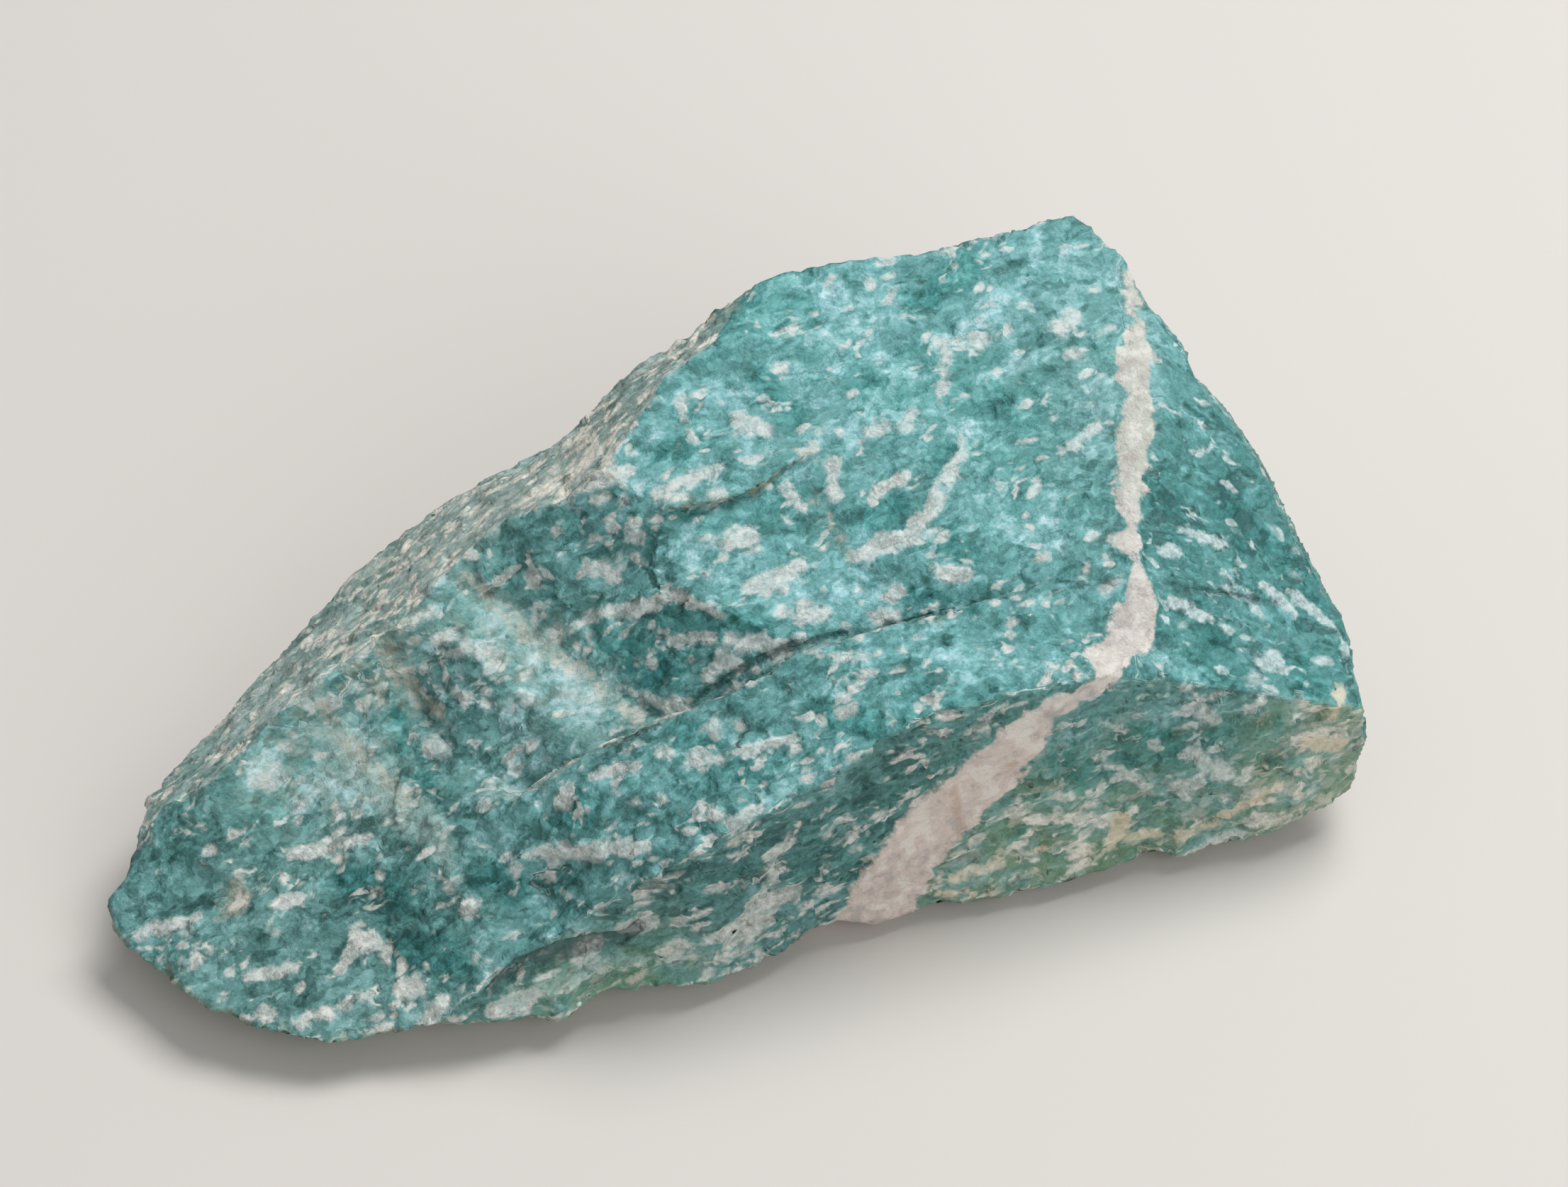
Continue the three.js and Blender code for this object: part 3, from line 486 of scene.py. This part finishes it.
# Tones of the ground from dark to light, then the colours of what lies in it or on it
CLEAR_TONES = [
    (0.00, tint(34, 90, 88)), (0.25, tint(66, 128, 126)), (0.50, tint(101, 161, 162)),
    (0.75, tint(146, 192, 197)), (1.00, tint(188, 215, 220)),
]
PURE_TONES = [
    (0.00, tint(22, 86, 84)), (0.30, tint(46, 130, 128)), (0.60, tint(92, 168, 164)),
    (1.00, tint(160, 210, 210)),
]
DULL_TONES = [
    (0.00, tint(58, 86, 82)), (0.50, tint(118, 142, 134)), (1.00, tint(184, 192, 184)),
]
CREAM = tint(206, 206, 200)
WARM_CREAM = tint(210, 198, 186)
COOL_CREAM = tint(186, 205, 207)
DULL_CREAM = tint(232, 226, 214)
VEIN_WHITE = tint(200, 198, 191)
VEIN_PINK = tint(202, 188, 179)
VEIN_GREEN = tint(182, 187, 177)
VEIN_GREY = tint(170, 164, 159)
VEIN_LIGHT = tint(216, 213, 206)
THREAD = tint(168, 142, 122)
PALE = tint(172, 198, 192)
BEIGE = tint(190, 176, 156)
MOSS = tint(104, 134, 86)
OCHRE = tint(212, 200, 174)
# Dark specks in the stone, and painted shade along the cracks and step edges
DARK_SPECK_AND_CRACK_SHADE = tint(48, 74, 72)
FLOOR_COLOUR = tint(206, 202, 197)
WHITE = (1, 1, 1, 1)


def link(thing):
    """Puts an object in the scene."""
    bpy.context.scene.collection.objects.link(thing)
    return thing


# ---------------------------------------------------------------- mesh

def welded_copy(node):
    """The CAD node's mesh, copied and welded."""
    mesh = node.data.copy()
    shell = bmesh.new()
    shell.from_mesh(mesh)
    bmesh.ops.remove_doubles(shell, verts=shell.verts, dist=WELD * MM)
    shell.to_mesh(mesh)
    shell.free()
    return mesh


def numbers(items, name, width=1):
    """A named property of all the points or faces of a mesh, as an array."""
    flat = np.zeros(len(items) * width, np.float32)
    items.foreach_get(name, flat)
    return flat.reshape(-1, width) if width > 1 else flat


def places_of(mesh):
    """Places of the mesh's points, in millimetres."""
    return numbers(mesh.vertices, "co", 3) / MM


def settled_facings(mesh):
    """For each CAD triangle, the way that its part of the stone faces."""
    centres = numbers(mesh.polygons, "center", 3) / MM
    normals = numbers(mesh.polygons, "normal", 3)
    areas = numbers(mesh.polygons, "area")
    squares = (centres ** 2).sum(1)
    facings = normals.copy()
    for _ in range(FACING_ROUNDS):
        turned = np.empty_like(facings)
        for start in range(0, len(facings), ROWS_AT_ONCE):
            part = slice(start, start + ROWS_AT_ONCE)
            apart = squares[part, None] + squares - 2 * centres[part] @ centres.T
            unlike = 1 - facings[part] @ facings.T
            weight = np.exp(-apart / FACING_REACH ** 2 - (unlike / ZONE_TURN) ** 2) * areas
            turned[part] = weight @ normals
        facings = turned / np.linalg.norm(turned, axis=1, keepdims=True)
    return facings


def facing_finder(mesh):
    """A function that gives the settled facings of places on the stone."""
    facings = settled_facings(mesh)
    tree = BVHTree.FromPolygons(
        [point.co for point in mesh.vertices], [face.vertices[:] for face in mesh.polygons]
    )

    def facings_at(places):
        return facings[[tree.find_nearest(Vector(place) * MM)[2] for place in places]]

    return facings_at


def zone_weight(places, facings, place, facing, reach):
    """How much a zone counts at each point, by nearness and facing."""
    toward = np.array(facing) / np.linalg.norm(facing)
    apart = ((places - np.array(place)) ** 2).sum(1) / reach ** 2
    unlike = (1 - facings @ toward) / ZONE_TURN
    near = np.exp(-np.minimum(apart, MOST_APART))
    alike = np.exp(-np.minimum(unlike, MOST_UNLIKE))
    return near * alike + LEAST_WEIGHT


def tone_values(places, facings):
    """The tones of each point: a mean of the zones, weighted by nearness and facing."""
    total = np.full(len(places), FADE_WEIGHT)
    tones = np.zeros((len(places), len(TONES)))
    for place, facing, reach, values in ZONES:
        weight = zone_weight(places, facings, place, facing, reach)
        total += weight
        tones += weight[:, None] * np.array(values)
    return tones / total[:, None]


def line_gap(places, line):
    """Distance to a line of places with half widths, less the half width there."""
    best = np.full(len(places), FAR)
    for start, end in zip(np.array(line), np.array(line[1:])):
        run = (end - start)[:3]
        away = places - start[:3]
        share = np.clip(away @ run / (run @ run), 0, 1)
        apart = np.linalg.norm(away - share[:, None] * run, axis=1)
        best = np.minimum(best, apart - start[3] - (end - start)[3] * share)
    return best


def lines_gap(places, lines):
    """Distance to the nearest of several lines, less the half width there."""
    return np.min([line_gap(places, line) for line in lines], axis=0)


def plate(place, size):
    """Height of tilted plates of about that size, as on a fresh break."""
    spot = place / size
    seed = noise.voronoi(spot)[1][0]
    lean = noise.cell_vector(seed * PLATE_SPREAD) - Vector((MEAN, MEAN, MEAN))
    return lean.dot(spot - seed) * size


def layer(place, step):
    """Saw teeth along the cleavage, one for each layer of the crystal."""
    bend = noise.noise(place / LAYER_WAVER_SIZE) * LAYER_WAVER
    height = place.dot(CLEAVAGE) / step + bend
    return (height % 1 - MEAN) * step


def relief(place, facing, rough):
    """Height of the broken surface at a place, in millimetres."""
    strength = CALM + (1 - CALM) * rough
    across = 1 - abs(facing.dot(CLEAVAGE)) ** LAYER_FADE
    height = SWELL_HEIGHT * noise.noise(place / SWELL_SIZE)
    for size, lean in PLATES:
        height += plate(place, size) * lean * strength
    for step, share in LAYERS:
        height += layer(place, step) * share * across * strength
    return height


def inside(gap):
    """1 inside a marking, one half on its outline and 0 away from it."""
    return np.clip(0.5 - gap / RIM, 0, 1)


def roughened(mesh, facings, tones):
    """Pushes the mesh's points out and in by the relief, the markings and the cracks."""
    places = places_of(mesh)
    rough = tones[:, TONES.index("rough")]
    heights = np.array([
        relief(Vector(place), Vector(facing), share)
        for place, facing, share in zip(places, facings, rough)
    ])
    vein = inside(line_gap(places, VEIN))
    heights = heights * (1 - VEIN_CALM * vein) + VEIN_RISE * vein
    heights += FLECK_RISE * inside(lines_gap(places, FLECKS))
    heights -= CRACK_DEPTH * inside(lines_gap(places, CRACKS))
    heights *= np.clip(places[:, 2] / REST_HEIGHT, 0, 1)
    places += numbers(mesh.vertex_normals, "vector", 3) * heights[:, None]
    places[:, 2] = np.maximum(places[:, 2], 0)
    mesh.vertices.foreach_set("co", (places * MM).astype(np.float32).ravel())
    mesh.update()
    return mesh


def applied(thing):
    """The mesh of an object with its modifiers applied. The object goes."""
    graph = bpy.context.evaluated_depsgraph_get()
    made = bpy.data.meshes.new_from_object(thing.evaluated_get(graph))
    bpy.data.objects.remove(thing)
    return made


def finely_cut(mesh):
    """The mesh with each triangle cut flat into smaller quads."""
    thing = link(bpy.data.objects.new("cut", mesh))
    cut = thing.modifiers.new("cut", "SUBSURF")
    cut.subdivision_type = "SIMPLE"
    cut.levels = cut.render_levels = CUT_LEVELS
    return applied(thing)


def thinned(mesh):
    """The mesh with its flatter parts made of fewer triangles."""
    thing = link(bpy.data.objects.new("thin", mesh))
    mesh.calc_loop_triangles()
    thin = thing.modifiers.new("thin", "DECIMATE")
    thin.ratio = min(1.0, MOST_TRIANGLES / len(mesh.loop_triangles))
    return applied(thing)


def store(mesh, name, values):
    """Keeps one number for each point of the mesh."""
    attribute = mesh.attributes.new(name, "FLOAT", "POINT")
    attribute.data.foreach_set("value", values.astype(np.float32))


def store_looks(mesh, facings_at):
    """Keeps what the material reads: tones, distances to the markings, slope and front."""
    places = places_of(mesh)
    facings = facings_at(places)
    for name, values in zip(TONES, tone_values(places, facings).T):
        store(mesh, name, values)
    store(mesh, "vein", line_gap(places, VEIN))
    for name, lines in MARKS.items():
        store(mesh, name, lines_gap(places, lines))
    store(mesh, "slope", (places[:, 0] > SLOPE_START) & (facings[:, 2] > SLOPE_FACING))
    store(mesh, "front", facings[:, 1] < FRONT_FACING)


def stone_mesh(node):
    """The finished mesh of the stone: cut finer, roughened and thinned."""
    plain = welded_copy(node)
    facings_at = facing_finder(plain)
    fine = finely_cut(plain)
    facings = facings_at(places_of(fine))
    tones = tone_values(places_of(fine), facings)
    mesh = thinned(roughened(fine, facings, tones))
    store_looks(mesh, facings_at)
    mesh.shade_smooth()
    return mesh


# ---------------------------------------------------------------- shader nodes

class Value:
    """What a shader node gives. Numbers can be added, subtracted and multiplied."""

    def __init__(self, make, socket):
        self.make = make
        self.socket = socket

    def __add__(self, other):
        return self.make.math("ADD", self, other)

    def __sub__(self, other):
        return self.make.math("SUBTRACT", self, other)

    def __mul__(self, other):
        return self.make.math("MULTIPLY", self, other)

    def __rsub__(self, other):
        return self.make.math("SUBTRACT", other, self)

    __radd__ = __add__
    __rmul__ = __mul__


class Graph:
    """Makes the nodes of one material."""

    def __init__(self, name):
        self.material = bpy.data.materials.new(name)
        self.material.use_nodes = True
        self.tree = self.material.node_tree
        self.tree.nodes.clear()

    def node(self, kind, inputs, **settings):
        made = self.tree.nodes.new(kind)
        for key, value in settings.items():
            setattr(made, key, value)
        for key, value in inputs.items():
            if isinstance(value, Value):
                self.tree.links.new(value.socket, made.inputs[key])
            else:
                made.inputs[key].default_value = value
        return made

    def value(self, output, kind, inputs, **settings):
        return Value(self, self.node(kind, inputs, **settings).outputs[output])

    def math(self, operation, first, second):
        return self.value(0, "ShaderNodeMath", {0: first, 1: second}, operation=operation)

    def largest(self, first, *others):
        for other in others:
            first = self.math("MAXIMUM", first, other)
        return first

    def vector(self, operation, first, second):
        return self.value(0, "ShaderNodeVectorMath", {0: first, 1: second}, operation=operation)

    def moved(self, place, shift):
        return self.vector("ADD", place, shift)

    def scaled(self, vector, factor):
        inputs = {0: vector, "Scale": factor}
        return self.value(0, "ShaderNodeVectorMath", inputs, operation="SCALE")

    def dot(self, first, second):
        inputs = {0: first, 1: second}
        return self.value("Value", "ShaderNodeVectorMath", inputs, operation="DOT_PRODUCT")

    def attribute(self, name):
        return self.value("Fac", "ShaderNodeAttribute", {}, attribute_name=name)

    def noise(self, place, size, detail, roughness, output="Fac"):
        inputs = {"Vector": place, "Scale": 1 / size, "Detail": detail, "Roughness": roughness}
        return self.value(output, "ShaderNodeTexNoise", inputs)

    def voronoi(self, place, size):
        """Distance to the nearest seed, in sizes, and the seed's place and random colour."""
        made = self.node("ShaderNodeTexVoronoi", {"Vector": place, "Scale": 1 / size})
        return [Value(self, made.outputs[name]) for name in ("Distance", "Position", "Color")]

    def between(self, value, low, high):
        """0 at low and 1 at high, smooth in between; low may be the higher of the two."""
        inputs = {"Value": value, "From Min": low, "From Max": high}
        return self.value(0, "ShaderNodeMapRange", inputs, interpolation_type="SMOOTHSTEP")

    def mix(self, share, first, second):
        inputs = {MIX_SHARE: share, MIX_FIRST: first, MIX_SECOND: second}
        return self.value(MIX_RESULT, "ShaderNodeMix", inputs, data_type="RGBA")

    def ramp(self, value, stops):
        made = self.node("ShaderNodeValToRGB", {0: value})
        bar = made.color_ramp
        for place, colour in stops[1:-1]:
            bar.elements.new(place).color = colour
        bar.elements[0].position, bar.elements[0].color = stops[0]
        bar.elements[-1].position, bar.elements[-1].color = stops[-1]
        return Value(self, made.outputs[0])

    def finished(self, colour, roughness, **others):
        """The material, with a plain surface of that colour."""
        inputs = {"Base Color": colour, "Roughness": roughness, **others}
        surface = self.value(0, "ShaderNodeBsdfPrincipled", inputs)
        self.node("ShaderNodeOutputMaterial", {"Surface": surface})
        return self.material


def graded(share, low, high):
    """low where the share is 0 and high where it is 1."""
    return low + (high - low) * share


# ---------------------------------------------------------------- patterns

def pushed(make, place, direction, push):
    """Place moved by the push for each millimetre that it lies along a direction."""
    return make.moved(place, make.scaled(push, make.dot(place, direction)))


def stretched(make, place, direction, factor):
    """Place in which whatever is drawn comes out that many times longer along a direction."""
    return pushed(make, place, direction, direction * (1 / factor - 1))


def shaken(make, place, size, reach):
    """Place moved about by up to about half of the reach, so that edges come out ragged."""
    push = make.noise(place, size, *SHAKE_DETAIL, "Color")
    push = make.vector("SUBTRACT", push, (MEAN, MEAN, MEAN))
    return make.moved(place, make.scaled(push, reach))


def grain_place(make, place):
    """Place for the pattern of the stone, which runs along the fibre of the crystal."""
    fibre = stretched(make, place, FIBRE, FIBRE_STRETCH)
    slope = pushed(make, place, SLOPE_RUN, SLOPE_PUSH)
    front = stretched(make, place, FIBRE, FRONT_STRETCH)
    grain = make.mix(make.attribute("slope"), fibre, slope)
    grain = make.mix(make.attribute("front"), grain, front)
    for size, reach in SHAKES:
        grain = shaken(make, grain, size, reach)
    return grain


class Pattern:
    """What the parts of the stone's material share: places, tones and noises."""

    def __init__(self, make):
        self.place = make.scaled(make.value("Object", "ShaderNodeTexCoord", {}), 1 / MM)
        self.grain = grain_place(make, self.place)
        self.tones = {name: make.attribute(name) for name in TONES}
        self.wave = make.noise(self.place, *WAVE_NOISE) - MEAN
        self.broad = make.noise(self.place, *BROAD_NOISE) - MEAN
        fine = make.noise(make.moved(self.place, FINE_SHIFT), *FINE_NOISE)
        self.fine = make.between(fine, *FINE_EDGES)
        self.drift = make.noise(make.moved(self.grain, DRIFT_SHIFT), *DRIFT_NOISE)


def marking(make, pattern, name):
    """How strongly a traced marking shows, its edge wavering."""
    waver, begins, full, strength = EDGES[name]
    return strength * make.between(make.attribute(name) + waver * pattern.wave, begins, full)


def patches(make, place, size, share, soft):
    """Ragged patches that cover more of the surface as the share goes from 0 to 1."""
    edge = graded(share, *PATCH_LEVELS)
    return make.between(make.noise(place, size, *PATCH_DETAIL), edge, edge + soft)


def rounds(make, place, size, share):
    """Roundish flecks of unlike sizes, in that share of the cells."""
    gap, _, colour = make.voronoi(place, size)
    pick = make.value(0, "ShaderNodeSeparateColor", {0: colour})
    radius = make.math("MINIMUM", (pick - (1 - share)) * ROUND_GROWTH, ROUND_LARGEST)
    return make.between(radius - gap, *ROUND_EDGE)


def specks(make, place):
    """Dark specks, one in some of the cells."""
    gap, _, colour = make.voronoi(place, SPECK_SIZE)
    pick = make.value(0, "ShaderNodeSeparateColor", {0: colour})
    return make.between(gap, *SPECK_EDGE) * make.math("GREATER_THAN", pick, 1 - SPECK_SHARE)


def chips(make, place):
    """Height of small tilted plates drawn out along the fibre, as on a fresh break."""
    place = stretched(make, place, FIBRE, FIBRE_STRETCH)
    _, seed, colour = make.voronoi(place, CHIP_SIZE)
    away = make.vector("SUBTRACT", place, seed)
    return make.dot(away, make.vector("SUBTRACT", colour, (MEAN, MEAN, MEAN)))


# ---------------------------------------------------------------- material of the stone

def ground_tone(make, pattern, veil, pocket):
    """Place of the mottled teal on the scales of tones."""
    clear = 1 - pattern.tones["depth"]
    tone = TONE_START + DEPTH_SWING * (clear - MEAN)
    for shift, size, least, most, soft, lighter in MOTTLES:
        place = make.moved(pattern.grain, shift)
        tone += lighter * patches(make, place, size, graded(clear, least, most), soft)
    tone += DRIFT_SWING * (pattern.drift - MEAN) + FINE_SWING * (pattern.fine - MEAN)
    return tone + VEIL_SWING * veil - POCKET_SWING * pocket


def ground_colour(make, pattern):
    """Mottled teal, from milky to dark, purer in pockets and duller on the grey side."""
    veil = marking(make, pattern, "veil") * graded(pattern.fine, *VEIL_STRENGTH)
    pocket = marking(make, pattern, "pocket")
    tone = ground_tone(make, pattern, veil, pocket)
    drift = PURE_DRIFT * make.between(pattern.drift, *PURE_EDGES)
    pure = make.largest(PURE_POCKET * pocket, drift) * (1 - veil)
    colour = make.mix(pure, make.ramp(tone, CLEAR_TONES), make.ramp(tone, PURE_TONES))
    grey = pattern.tones["grey"] * (1 - POCKET_CLEARS * pocket)
    return make.mix(grey, colour, make.ramp(tone, DULL_TONES))


def fleck_mask(make, pattern):
    """Cream flecks: large and small round ones, ragged ones and the traced ones."""
    crowd = graded(make.between(pattern.broad, *CROWD_EDGES), *FLECK_CROWDS)
    fleck = pattern.tones["fleck"] * crowd
    masks = [
        rounds(make, make.moved(pattern.grain, shift), size, share * fleck)
        for shift, size, share in ROUND_FLECKS
    ]
    shift, size, share, soft = RAGGED_FLECKS
    ragged = patches(make, make.moved(pattern.grain, shift), size, share * fleck, soft)
    return make.largest(*masks, ragged, marking(make, pattern, "streak"))


def cream_colour(make, pattern):
    """Cream of the flecks: warm in spots, cool in milky stone, pale in dull stone."""
    tones = pattern.tones
    warm = WARM_FLECKS * make.between(pattern.wave, *WARM_EDGES)
    cool = 1 - COOL_LOSS * tones["depth"] * (1 - SLOPE_COOL * make.attribute("slope"))
    dull = make.between(make.largest(tones["moss"], tones["grey"]), *DULL_EDGES)
    cream = make.mix(warm, CREAM, WARM_CREAM)
    cream = make.mix(cool, cream, COOL_CREAM)
    return make.mix(dull, cream, DULL_CREAM)


def mossy(make, pattern, colour):
    """The colour with green and ochre weathering over it."""
    crust = make.mix(patches(make, pattern.grain, *OCHRE_PATCHES), MOSS, OCHRE)
    cover = graded(make.between(pattern.broad, *MOSS_EDGES), *MOSS_STRENGTH)
    return make.mix(pattern.tones["moss"] * cover, colour, crust)


def stained(make, pattern, colour):
    """The colour with pale treads, beige stains and ochre seams over it."""
    colour = make.mix(marking(make, pattern, "pale"), colour, PALE)
    spots = SPOT_STRENGTH * make.between(pattern.wave, *SPOT_EDGES) * pattern.tones["warm"]
    lines = marking(make, pattern, "stain") * graded(pattern.fine, *STAIN_GRAIN)
    colour = make.mix(make.largest(spots, lines), colour, BEIGE)
    return make.mix(marking(make, pattern, "ochre"), colour, OCHRE)


def darkened(make, pattern, colour):
    """The colour with dark specks, and painted shade along the cracks and step edges, over it."""
    line = make.attribute("crack") + CRACK_WAVER * pattern.wave
    painted_crack_shade = sum(CRACK_SHADE * make.between(line, *edge) for edge in CRACK_SHADES)
    specks_and_painted_shade = make.largest(SPECK_STRENGTH * specks(make, pattern.place), painted_crack_shade)
    return make.mix(specks_and_painted_shade, colour, DARK_SPECK_AND_CRACK_SHADE)


def vein_mask(make, pattern):
    """1 in the white vein and 0 away from it, its edges wavering."""
    gap = make.attribute("vein") + VEIN_WAVER * pattern.wave + VEIN_BEND * pattern.broad
    return make.between(gap, *VEIN_EDGE)


def vein_colour(make, pattern):
    """White, greenish above and pinkish below, with clouds and a few brown threads."""
    height = make.value("Z", "ShaderNodeSeparateXYZ", {0: pattern.place})
    filling = make.mix(make.between(height, *PINK_HEIGHTS), VEIN_PINK, VEIN_WHITE)
    filling = make.mix(make.between(height, *GREEN_HEIGHTS), filling, VEIN_GREEN)
    cloud = pattern.wave + pattern.broad
    grey = GREY_CLOUDS * make.between(cloud, *GREY_EDGES) + GREY_GRAIN * (1 - pattern.fine)
    filling = make.mix(grey, filling, VEIN_GREY)
    light = LIGHT_CLOUDS * make.between(cloud, *LIGHT_EDGES)
    filling = make.mix(light, filling, VEIN_LIGHT)
    return make.mix(marking(make, pattern, "thread"), filling, THREAD)


def stone_colour(make, pattern):
    """The mottled ground, then weathering, flecks, stains, dark specks, painted shade along the
    cracks and the vein over it.
    """
    colour = mossy(make, pattern, ground_colour(make, pattern))
    flecks = fleck_mask(make, pattern) * graded(pattern.fine, *FLECK_STRENGTH)
    colour = make.mix(flecks, colour, cream_colour(make, pattern))
    colour = darkened(make, pattern, stained(make, pattern, colour))
    return make.mix(vein_mask(make, pattern), colour, vein_colour(make, pattern))


def stone_bump(make, pattern):
    """Small chips of the break, fine pits and the cracks."""
    vein = make.between(make.attribute("vein"), *VEIN_CHIP_EDGE)
    strength = graded(pattern.tones["rough"], *CHIP_STRENGTH) * graded(vein, *VEIN_CHIPS)
    height = CHIP_LEAN * chips(make, pattern.place) * strength
    height += PIT_HEIGHT * make.noise(pattern.place, *PIT_NOISE)
    height -= CRACK_BUMP * make.between(make.attribute("crack"), *CRACK_BUMP_EDGE)
    inputs = {"Height": height, "Strength": 1.0, "Distance": MM}
    return make.value(0, "ShaderNodeBump", inputs)


def stone_material():
    """Mottled teal stone with cream flecks, weathering and a white vein."""
    make = Graph("amazonite")
    pattern = Pattern(make)
    rough = BREAK_ROUGHNESS * pattern.tones["rough"]
    rough = ROUGHNESS + FINE_ROUGHNESS * pattern.fine + rough
    return make.finished(stone_colour(make, pattern), rough, Normal=stone_bump(make, pattern))


# ---------------------------------------------------------------- scene

def make_stone():
    """The stone, in place of the CAD solid."""
    mesh = stone_mesh(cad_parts[NODE])
    mesh.materials.clear()
    mesh.materials.append(stone_material())
    stone = link(bpy.data.objects.new("stone", mesh))
    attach(stone, "root")
    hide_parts(NODE)


def make_floor():
    """A plain pale floor."""
    mesh = bpy.data.meshes.new("floor")
    half = FLOOR_HALF * MM
    corners = [(-half, -half, 0), (half, -half, 0), (half, half, 0), (-half, half, 0)]
    mesh.from_pydata(corners, [], [(0, 1, 2, 3)])
    mesh.materials.append(Graph("floor").finished(FLOOR_COLOUR, FLOOR_ROUGHNESS))
    link(bpy.data.objects.new("floor", mesh))


def make_lamp(name, place, size, watts):
    """A square soft lamp that faces the middle of the floor."""
    data = bpy.data.lights.new(name, "AREA")
    data.shape = "SQUARE"
    data.size = size * MM
    data.energy = watts
    lamp = link(bpy.data.objects.new(name, data))
    lamp.location = Vector(place) * MM
    lamp.rotation_euler = (-Vector(place)).to_track_quat("-Z", "Y").to_euler()


def make_world():
    """Even light from all round."""
    world = bpy.data.worlds.new("studio")
    world.use_nodes = True
    light = world.node_tree.nodes["Background"]
    light.inputs["Color"].default_value = WHITE
    light.inputs["Strength"].default_value = WORLD_STRENGTH
    bpy.context.scene.world = world
    bpy.context.scene.view_settings.view_transform = "Standard"


def make_camera():
    """The camera, looking down at the front of the stone."""
    data = bpy.data.cameras.new("camera")
    data.lens = CAMERA_LENS
    data.sensor_width = CAMERA_SENSOR
    camera = link(bpy.data.objects.new("camera", data))
    tilt = math.radians(CAMERA_TILT)
    back = Vector((0, -math.cos(tilt), math.sin(tilt)))
    camera.location = (Vector(CAMERA_AIM) + back * CAMERA_REACH) * MM
    camera.rotation_euler = (math.pi / 2 - tilt, 0, 0)
    bpy.context.scene.camera = camera


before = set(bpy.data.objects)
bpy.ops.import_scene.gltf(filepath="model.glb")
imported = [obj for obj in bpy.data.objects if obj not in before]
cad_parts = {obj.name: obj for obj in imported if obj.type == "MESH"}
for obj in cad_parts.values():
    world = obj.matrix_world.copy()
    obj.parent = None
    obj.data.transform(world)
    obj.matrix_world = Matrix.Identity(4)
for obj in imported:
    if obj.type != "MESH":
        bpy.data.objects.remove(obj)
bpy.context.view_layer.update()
make_stone()
make_floor()
make_lamp("key", KEY_PLACE, KEY_SIZE, KEY_WATTS)
make_lamp("fill", FILL_PLACE, FILL_SIZE, FILL_WATTS)
make_world()
make_camera()
